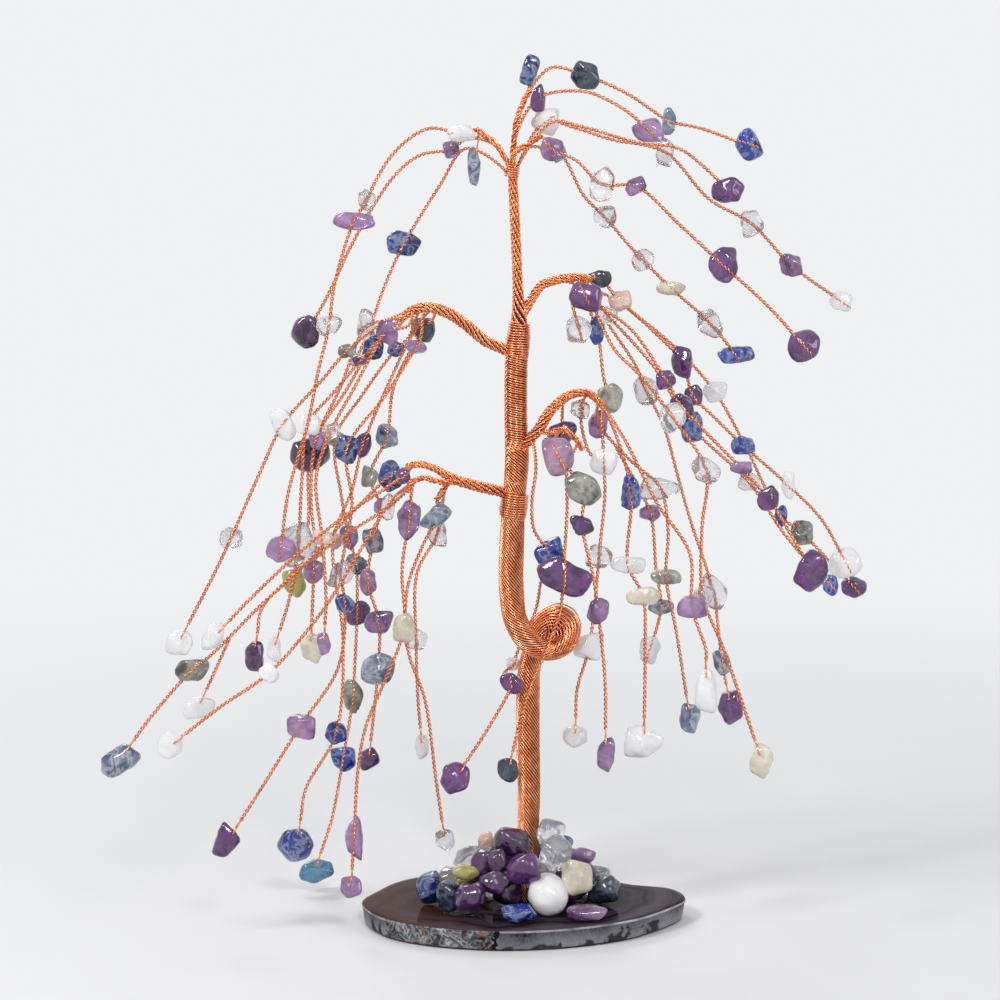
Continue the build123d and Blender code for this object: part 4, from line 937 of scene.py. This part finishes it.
# The strands: pairs of thin copper wires twisted together, which carry the drilled chips in fans.
# Each starts in the bundle or strand named with it, at a share of its length. A stop is across,
# down and back, with its chip's look, width, height and lean; some strands end in a hanging stone.
strand_radius = 0.0005
fan_depth_share = 1.5
pin_inset = 0.0019
eye_rise = 0.002
eye_reach_gap = 0.00035
eye_neck = 0.001
strand_lay = 0.0029
root_share, root_clear, side_clear = 0.12, 0.35, 0.45
thinnest_stone, stone_depth_share = 0.0036, 0.62
crossing_steps = 8
strand_stops = {
    "crown_left": {
        "crown_long": ("left_twig", 1.0, [
            (461, 133, -13, "milk", 28, 17), (430, 128, -10), (410, 138, -13), (392, 155, -16),
            (376, 180, -19), (367, 200, -21, "clear", 17, 22), (354, 221, -23, "lilac", 42, 18),
            (334, 287, -30), (329, 326, -34, "clear", 26, 20), (318, 372, -40), (308, 423, -46),
            (288, 494, -54), (281, 549, -60, "lilac", 30, 26)]),
        "crown_short": ("left_twig", 0.75, [
            (468, 138, 16), (451, 149, 14, "lilac", 17, 19), (420, 155, 10), (396, 174, 6),
            (374, 205, 4), (350, 248, 0), (328, 295, -6), (307, 332, -10, "violet", 28, 33, 20)]),
        "crown_back": ("left_twig", 0.4, [
            (466, 148, 18), (440, 185, 24), (413, 228, 30), (404, 243, 32, "royal", 35, 26),
            (385, 285, 40), (370, 327, 48), (356, 360, 54, "clear", 15, 15)]),
        "crown_sliver": ("left_twig", 0.95, [(474, 166, 0, "denim", 13, 40)], "hangs"),
    },
    "crown_right": {
        "top_stone": ("right_twig", 1.0, [(530, 78, 4), (530, 70, 3, "royal", 18, 30, 10)]),
        "top_high": ("right_twig", 0.9, [
            (540, 76, 14), (553, 67, 16), (585, 75, 18, "slate", 29, 29), (628, 94, 22),
            (652, 110, 25), (669, 121, 27, "denim", 14, 28), (700, 128, 30),
            (747, 145, 34, "royal", 24, 32, -20)]),
        "top_low": ("right_twig", 0.62, [
            (538, 98, -8, "violet", 15, 28), (582, 91, -14), (610, 101, -18), (632, 115, -22),
            (648, 130, -25, "lilac", 32, 24)]),
        "middle_high": ("right_twig", 0.3, [
            (545, 122, 14, "milk", 28, 28), (576, 128, 17), (610, 139, 20),
            (665, 152, 26, "clear", 19, 30), (709, 199, 34), (752, 224, 40, "clear", 24, 28),
            (791, 265, 46, "lilac", 24, 24), (841, 301, 52, "milk", 25, 22)]),
        "middle_branch": ("low_right_twig", 0.45, [
            (552, 122, -10), (580, 126, -10), (640, 143, -6), (678, 148, -4), (702, 165, -2),
            (728, 190, 0, "violet", 33, 26)]),
        "long_front": ("low_right_twig", 1.0, [
            (552, 149, -11, "lilac", 24, 24), (576, 160, -12), (602, 184, -13, "clear", 25, 35),
            (636, 186, -16, "lilac", 21, 20), (679, 224, -22), (723, 265, -28, "violet", 29, 36),
            (768, 306, -35), (804, 346, -41, "violet", 32, 32)]),
        "long_back": ("low_right_twig", 0.8, [
            (560, 154, 10, "smoke", 14, 18), (584, 196, 14), (605, 217, 17, "clear", 23, 23),
            (628, 244, 20), (643, 260, 22, "clear", 23, 23), (671, 288, 26, "cream", 30, 15),
            (710, 323, 32, "clear", 27, 30), (736, 355, 37, "royal", 38, 18)]),
    },
    "upper_left": {
        "ul_far": ("upper_left_bough", 1.0, [
            (385, 322, -12), (347, 351, -30, "smoke", 18, 14), (322, 380, -34),
            (283, 424, -42, "milk", 26, 33), (261, 470, -48), (231, 538, -56, "clear", 23, 21),
            (214, 574, -60), (179, 642, -68, "milk", 27, 26)], "hangs"),
        "ul_white": ("upper_left_bough", 0.97, [
            (382, 338, -14), (361, 360, -16, "violet", 18, 12), (334, 392, -18),
            (308, 424, -20, "milk", 26, 22), (302, 478, -26), (298, 545, -34, "clear", 35, 45),
            (289, 600, -40), (274, 649, -45, "milk", 14, 27)], "hangs"),
        "ul_pink": ("upper_left_bough", 0.93, [
            (390, 336, 4), (373, 347, 6, "royal", 22, 26), (345, 392, 6),
            (317, 437, 6, "lilac", 17, 25), (311, 500, 2), (316, 552, -2, "clear", 15, 12),
            (314, 572, -4, "lilac", 22, 24), (311, 648, -14, "cream", 22, 31)], "hangs"),
        "ul_dark": ("upper_left_bough", 0.89, [
            (386, 320, 18), (366, 327, 24, "clear", 18, 38), (340, 388, 26),
            (310, 455, 28, "violet", 41, 35), (308, 525, 26), (294, 583, 24, "olive", 25, 30)]),
        "ul_lilac": ("upper_left_bough", 0.86, [
            (408, 326, -26), (387, 333, -36, "lilac", 22, 26), (352, 392, -40),
            (331, 431, -44, "clear", 18, 20), (316, 478, -50), (322, 537, -56, "peach", 20, 16),
            (326, 600, -62), (324, 644, -65, "lilac", 14, 23)], "hangs"),
        "ul_bar": ("upper_left_bough", 0.82, [
            (408, 338, 18), (396, 349, 22, "royal", 18, 16), (362, 395, 34),
            (335, 439, 46, "smoke", 20, 16), (341, 494, 50), (349, 537, 52, "lilac", 20, 26),
            (356, 564, 54, "denim", 24, 22), (357, 613, 56, "violet", 28, 28), (355, 660, 58),
            (353, 696, 60, "smoke", 22, 36), (343, 759, 64, "royal", 27, 27), (332, 818, 70),
            (315, 871, 75, "teal", 38, 24, -15)], "hangs"),
        "ul_blue": ("upper_left_bough", 0.78, [
            (421, 336, -20), (416, 347, -18, "lilac", 22, 14), (385, 396, -12),
            (347, 449, -8, "royal", 25, 30), (352, 504, -10), (341, 574, -16, "clear", 28, 26),
            (345, 604, -20, "royal", 20, 20), (338, 668, -26), (300, 726, -32, "lilac", 30, 25, 20),
            (264, 784, -38), (228, 840, -43, "violet", 24, 34, 15)], "hangs"),
        "ul_violet": ("upper_left_bough", 0.73, [
            (415, 330, 6), (392, 376, 14), (363, 445, 22, "violet", 18, 26), (352, 490, 26),
            (333, 541, 30, "peach", 18, 18), (343, 640, 34), (336, 733, 38, "royal", 23, 24),
            (306, 788, 42), (296, 845, 45, "royal", 35, 40, 20)], "hangs"),
        "ul_near": ("upper_left_bough", 0.68, [
            (432, 320, 20), (423, 330, 30, "slate", 25, 26), (394, 386, 22),
            (387, 436, 10, "denim", 23, 26), (370, 476, 4, "smoke", 18, 22),
            (380, 507, 8, "lilac", 13, 20), (373, 541, 10, "denim", 22, 26),
            (368, 582, 10, "lilac", 18, 28), (379, 622, 8, "lilac", 30, 24),
            (378, 669, 6, "denim", 35, 34), (369, 759, 1, "violet", 22, 24)], "hangs"),
    },
    "lower_left": {
        "ll_blue": ("lower_left_bough", 1.0, [
            (390, 476, -20, "royal", 24, 32), (345, 520, -38), (300, 570, -56), (262, 604, -62),
            (211, 655, -68), (192, 670, -70, "smoke", 34, 22), (150, 718, -76),
            (119, 760, -80, "denim", 43, 28, -20)], "hangs"),
        "ll_oval": ("lower_left_bough", 0.92, [
            (404, 476, -40, "violet", 13, 16), (350, 512, -60), (300, 552, -72), (249, 600, -84),
            (214, 636, -92, "milk", 21, 30, 20)], "hangs"),
        "ll_drop": ("lower_fork", 1.0, [
            (388, 507, -36, "clear", 14, 28), (330, 545, -24), (285, 582, -16), (261, 610, -12),
            (254, 655, -10, "violet", 20, 31, 10)], "hangs"),
        "ll_round": ("lower_fork", 0.9, [
            (392, 500, -52), (376, 524, -58), (330, 600, -72), (306, 632, -78),
            (269, 673, -84, "milk", 20, 21), (220, 707, -92),
            (170, 745, -99, "milk", 24, 26)], "hangs"),
        "ll_branch": ("ll_blue", 0.66, [(199, 706, -56, "milk", 33, 21, -10)], "hangs"),
        "ll_long": ("lower_fork", 0.8, [
            (409, 520, -20, "lilac", 24, 40), (402, 570, -22), (404, 628, -26, "cream", 22, 30),
            (386, 678, -30), (366, 726, -34), (358, 769, -36), (354, 838, -42, "lilac", 18, 46),
            (351, 887, -46, "lilac", 22, 22)], "hangs"),
        "ll_bar": ("side_shoot", 1.0, [
            (437, 517, -4, "denim", 20, 36, 45), (423, 545, -8), (407, 590, -10), (408, 650, -10),
            (425, 700, -8), (436, 780, -6), (445, 840, -6, "clear", 20, 24)], "hangs"),
        "ll_clear": ("side_shoot", 0.7, [
            (437, 534, 12, "clear", 20, 26), (417, 573, 16), (416, 639, 18, "clear", 24, 22),
            (418, 700, 20), (422, 747, 20, "milk", 14, 26)], "hangs"),
    },
    "upper_right": {
        "ur_far": ("upper_right_bough", 1.0, [
            (600, 279, 8, "slate", 24, 18), (620, 301, 12, "peach", 24, 22), (652, 330, 16),
            (682, 362, 20, "violet", 22, 34), (693, 395, 24, "violet", 20, 22), (715, 418, 28),
            (743, 445, 32, "royal", 25, 20), (788, 485, 38, "milk", 14, 30), (822, 520, 44),
            (846, 563, 50, "milk", 36, 32)]),
        "ur_front": ("upper_right_bough", 0.95, [
            (586, 297, -24, "violet", 34, 30), (630, 328, -23), (666, 380, -26, "violet", 20, 20),
            (682, 406, -28, "violet", 24, 26), (741, 468, -36, "lilac", 22, 14),
            (768, 498, -40, "violet", 22, 26), (797, 545, -46),
            (812, 571, -49, "violet", 30, 40, 20)]),
        "ur_mid": ("upper_right_bough", 0.88, [
            (608, 315, -2, "clear", 20, 18), (655, 368, -4), (692, 427, -6, "royal", 22, 32),
            (749, 482, -10, "clear", 22, 18), (786, 536, -14), (830, 585, -18, "royal", 17, 22)]),
        "ur_clear": ("upper_right_bough", 0.8, [(572, 300, -8), (579, 329, -14, "clear", 26, 28)]),
        "ur_grey": ("upper_right_bough", 0.72, [
            (584, 300, 12), (597, 330, 14, "royal", 16, 30), (604, 379, 14),
            (610, 398, 12, "smoke", 26, 31)]),
        "ur_back": ("upper_right_bough", 0.9, [
            (607, 322, 26), (636, 366, 34), (646, 390, 38, "clear", 26, 31), (664, 427, 44),
            (678, 477, 52), (690, 519, 58), (713, 592, 66, "clear", 30, 38),
            (722, 662, 72, "denim", 20, 28), (731, 708, 75, "violet", 27, 36, -10)], "hangs"),
        "ur_drop": ("upper_right_bough", 0.84, [
            (615, 350, -36), (640, 375, -44), (673, 418, -52, "clear", 26, 30),
            (706, 470, -58, "clear", 29, 28), (702, 528, -62), (703, 596, -54, "clear", 20, 20),
            (724, 650, -60), (762, 761, -82, "cream", 22, 34, 10)], "hangs"),
        "ur_cream": ("upper_right_bough", 0.6, [
            (612, 298, 34), (645, 322, 40), (680, 352, 44), (715, 392, 52, "milk", 25, 22),
            (745, 445, 58), (781, 516, 64, "royal", 14, 24), (802, 533, 66, "smoke", 24, 26),
            (854, 587, 72, "violet", 27, 22)]),
    },
    "middle_right": {
        "mr_bell": ("middle_right_bough", 0.12, [
            (536, 468, -30), (532, 500, -26), (534, 530, -20), (549, 553, -10, "royal", 30, 34),
            (541, 580, 12), (535, 612, 24), (520, 645, 24), (513, 664, 19, "milk", 16, 14),
            (504, 674, 3), (512, 683, -13, "violet", 26, 20, 30), (487, 730, -20),
            (455, 778, -25, "violet", 30, 32)], "hangs"),
        "mr_flat": ("second_bough", 0.85, [
            (567, 467, -44), (567, 508, -44), (563, 576, -34, "violet", 54, 32, 25),
            (560, 610, -26), (547, 647, -24), (528, 692, -14),
            (508, 770, -14, "slate", 22, 26)], "hangs"),
        "mr_hex": ("second_bough", 0.5, [
            (555, 440, -42), (558, 457, -54, "mauve", 32, 38), (583, 488, -60, "smoke", 36, 33),
            (582, 525, -60, "violet", 24, 20), (594, 580, -58), (598, 611, -58, "lilac", 22, 26),
            (605, 680, -56), (606, 755, -54, "lilac", 18, 36)], "hangs"),
        "mr_clear": ("middle_right_bough", 0.8, [
            (580, 409, 4, "clear", 20, 20), (588, 450, 8), (603, 470, 10),
            (599, 556, 12, "clear", 28, 24), (589, 647, 14, "milk", 32, 30), (577, 690, 16),
            (575, 736, 16, "milk", 25, 23)], "hangs"),
        "mr_dark": ("middle_right_bough", 0.55, [
            (562, 418, 2), (562, 433, 3, "violet", 30, 24), (551, 446, 17, "royal", 16, 16)]),
        "mr_white": ("middle_right_bough", 1.0, [(602, 422, -22), (604, 462, -30, "milk", 28, 26)]),
        "mr_bow": ("middle_right_bough", 0.97, [
            (612, 425, -4), (631, 492, -12, "royal", 20, 36), (628, 565, -20, "milk", 36, 18),
            (643, 596, -22, "cream", 34, 20), (645, 650, -24),
            (644, 741, -26, "milk", 40, 33)], "hangs"),
        "mr_grey": ("middle_right_bough", 0.92, [
            (598, 424, 26, "lilac", 20, 30), (630, 460, 26), (660, 488, 24, "clear", 44, 24),
            (668, 530, 24), (666, 577, 24, "smoke", 32, 16), (676, 630, 24),
            (690, 718, 24, "denim", 22, 32)], "hangs"),
        "mr_short": ("mr_grey", 0.265, [
            (650, 513, 40, "lilac", 22, 18), (656, 570, 42), (661, 607, 40, "denim", 27, 16),
            (650, 650, 38, "milk", 22, 30)]),
        "mr_long": ("middle_right_bough", 0.94, [
            (625, 440, -50), (657, 503, -60), (690, 554, -70), (692, 607, -74, "lilac", 30, 22),
            (706, 650, -76), (706, 691, -76, "milk", 22, 44)], "hangs"),
    },
}


def in_fan(stop):
    """A strand's stop in its place, with the fan's own depth."""
    return place(stop[0], stop[1], stop[2] * fan_depth_share)


def chip_reach(stop, way):
    """How far a chip reaches from its middle, one way in the view's plane."""
    lean = radians(stop[6] if len(stop) > 6 else 0)
    across = (way.x * cos(lean) - way.z * sin(lean)) / (stop[4] * mark / 2)
    upward = (way.x * sin(lean) + way.z * cos(lean)) / (stop[5] * mark / 2)
    return 1 / sqrt(across**2 + upward**2)


def inside(spot, clear=strand_radius * 1.25):
    """A wire's point, kept inside the CAD model's front and back."""
    (_, front, _), (_, back, _) = cad_box
    return Vector((spot.x, min(max(spot.y, front + clear), back - clear), spot.z))


strands = {}
for fan, made in strand_stops.items():
    for name, (carrier, share, stops, *ending) in made.items():
        leave, radius = routes[carrier].leave, routes[carrier].radius
        points = [in_fan(stop) for stop in stops]
        pin, up = None, None
        if ending:
            before = points[-2] if len(points) > 1 else leave(share, points[0], strand_radius)
            up = Vector((before.x - points[-1].x, 0, before.z - points[-1].z)).normalized()
            pin = points[-1] + up * (chip_reach(stops[-1], up) - pin_inset)
            points[-1] = pin + up * (pin_inset + eye_rise)
        clear = strand_radius if carrier in strands else side_clear * radius(share)
        starts = [leave(min(share, last_share), points[0], clear)]
        if carrier not in strands:
            back = max(share - root_share, 0)
            starts.insert(0, leave(back, points[0], root_clear * radius(back)))
        points = starts + points
        routes[name] = Route(points, [strand_radius * 1.2] * len(points), 8)
        strands[name] = (fan, stops, pin, up)


# The chips on the strands: tumbled stones with a drilled hole that the strand runs through,
# in amethyst, rock crystal, lapis and greyer stones.
places = []
for name, (fan, stops, pin, up) in strands.items():
    region = "crown" if "crown" in fan else fan.split("_")[1]
    for stop in stops[:-1] if pin else stops:
        if len(stop) > 3:
            places.append((region, in_fan(stop), stop, name))
threaded = []
for region in ("crown", "left", "right"):
    for kind, slot in stone_slots.items():
        stones = []
        for corners in chips_of(region + "_" + kind):
            middle, shape = hull_of(corners)
            _, _, stop, name = min((spot for spot in places if spot[0] == region),
                                   key=lambda spot: (spot[1] - middle).length)
            stones.append((middle, shape, stop[3]))
            threaded.append((name, middle, shape, stop))
        piece = pebbles(region + "_" + kind + "_chips", stones)
        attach(piece, "tree")
        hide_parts(region + "_" + kind)


# The end stones: each is drilled near its upper end, hangs from the eye at the end of its
# strand, and swings on it.
for node in [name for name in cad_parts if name.startswith("end_")]:
    _, kind, name = node.split("_", 2)
    middle, shape = hull_of(chips_of(node)[0])
    piece = pebbles("hanging_" + name, [(middle, shape, strands[name][1][-1][3])])
    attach(piece, node)
    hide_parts(node)


# The copper of each fan: the twisted pairs, the pair that crosses a chip's face to clasp it, and
# the single wire that is bent to the eye of an end stone.
def crossing(name, middle, shape, stop):
    """The path of a pair from a chip's one hole to the other, over its front or its back."""
    heading = routes[name].heading(routes[name].nearest(middle))
    front = Vector((0, -1, 0)) if (stop[0] + stop[1]) % 3 else Vector((0, 1, 0))
    path = []
    for step in range(crossing_steps + 1):
        turn = pi * step / crossing_steps
        direction = heading * -cos(turn) + front * sin(turn)
        direction.normalize()
        surface = Vector(surface_of(shape, np.array([direction]))[0])
        path.append((inside(middle + surface - direction * wire_radius), strand_radius))
    return path


def eye_path(name):
    """The path of the eye wire: down one side of the stone, through its hole and up the other."""
    _, stops, pin, up = strands[name]
    thickness = max(thinnest_stone, stone_depth_share * min(stops[-1][4:6]) * mark)
    reach = Vector((0, thickness / 2 + wire_radius + eye_reach_gap, 0))
    rise = up * pin_inset
    top = routes[name].spots[-1]
    start = Vector((0, wire_radius, 0))
    points = [top + start + up * eye_neck, top + start, pin + reach + rise * 0.8,
              pin + reach * 0.9, pin, pin - reach * 0.9,
              pin - reach + rise * 0.8, top - start, top - start + up * eye_neck]
    line = [Vector(spot[:3]) for spot in smooth([(*point, 0) for point in points], 5)]
    return [(inside(spot, wire_radius), wire_radius) for spot in line]


for fan, names in strand_stops.items():
    held = [[(inside(spot), girth) for spot, girth in routes[name].path()] for name in names]
    crossings = [crossing(*chip) for chip in threaded if chip[0] in names]
    parts = [laid_wires(label, paths, line_lay=strand_lay, copper=strand_copper)
             for label, paths in (("pairs", held), ("crossings", crossings))]
    eyes = [eye_path(name) for name in names if strands[name][2]]
    if eyes:
        parts.append(laid_wires("eyes", eyes, lines=1))
    piece = welded(fan + "_pairs", *parts)
    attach(piece, "tree")
    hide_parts(fan + "_strands")


# The studio: a pale table top that fades into a pale surround, soft lamps, and the camera at
# the photograph's angle.
surround = (0.87, 0.875, 0.885)
table_pale, table_dull = (0.82, 0.82, 0.82), (0.78, 0.78, 0.79)
table_reach, table_corners = 12, 96


def seen_by(finish):
    """1 for the rays that show a surface to the camera, in a reflection or through a stone."""
    rays = finish.add("ShaderNodeLightPath").outputs
    seen = finish.number("MAXIMUM", rays["Is Camera Ray"], rays["Is Glossy Ray"])
    return finish.number("MAXIMUM", seen, rays["Is Transmission Ray"])


def table_material():
    """A pale, faintly clouded table top, which fades to the surround's own light far out."""
    material = bpy.data.materials.new("pale_table")
    material.use_nodes = True
    finish = Recipe(material.node_tree)
    spot = finish.add("ShaderNodeTexCoord").outputs["Object"]
    clouds = finish.add("ShaderNodeTexNoise", Scale=12, Vector=spot).outputs["Fac"]
    shader = finish.nodes["Principled BSDF"]
    finish.feed(shader.inputs["Base Color"], finish.mixed(clouds, table_dull, table_pale))
    shader.inputs["Roughness"].default_value = 0.7
    reach = finish.add("ShaderNodeVectorMath", {"operation": "LENGTH"}, Vector=spot)
    fade = finish.add("ShaderNodeMapRange", {"interpolation_type": "SMOOTHSTEP"},
                      From_Min=0.15, From_Max=0.7, Value=reach.outputs["Value"])
    blend = finish.add("ShaderNodeMixShader",
                       Fac=finish.number("MULTIPLY", seen_by(finish), fade.outputs["Result"]))
    finish.link(shader.outputs[0], blend.inputs[1])
    finish.link(finish.add("ShaderNodeEmission", Color=surround).outputs[0], blend.inputs[2])
    finish.link(blend.outputs[0], finish.nodes["Material Output"].inputs["Surface"])
    return material


mesh = bpy.data.meshes.new("table_top")
turns = [2 * pi * step / table_corners for step in range(table_corners)]
corners = [(table_reach * cos(turn), table_reach * sin(turn), -0.0002) for turn in turns]
mesh.from_pydata(corners, [], [list(range(table_corners))])
table = in_scene("table_top", mesh)
mesh.materials.append(table_material())

world = bpy.data.worlds.new("studio")
bpy.context.scene.world = world
world.use_nodes = True
sky = Recipe(world.node_tree)
light = sky.mixed(seen_by(sky), (0.42, 0.43, 0.45), surround)
sky.feed(sky.nodes["Background"].inputs["Color"], light)


def facing(name, data, spot, target):
    """A lamp or camera in its place, turned towards its target."""
    holder = in_scene(name, data)
    holder.location = spot
    holder.rotation_euler = (Vector(target) - Vector(spot)).to_track_quat("-Z", "Y").to_euler()
    return holder


for name, spot, size, power in (
    ("key_lamp", (-0.9, -0.7, 1.1), 0.3, 9), ("front_lamp", (0.25, -1.3, 0.95), 0.3, 7),
    ("fill_lamp", (1.1, -0.8, 0.6), 0.5, 3), ("rim_lamp", (-0.4, 0.8, 0.9), 0.4, 3),
):
    lamp = bpy.data.lights.new(name, "AREA")
    lamp.size = size
    lamp.energy = power
    facing(name, lamp, spot, (0, 0, 0.13))

camera = bpy.data.cameras.new("camera")
camera.sensor_width = 36
camera.lens = 36 * sqrt(eye_distance**2 + (eye_height - aim_height)**2) / (1000 * mark)
eye_across = (500 - base_across) * mark
bpy.context.scene.camera = facing(
    "camera", camera, (eye_across, -eye_distance, eye_height), (eye_across, 0, aim_height))
bpy.context.scene.view_settings.view_transform = "Standard"
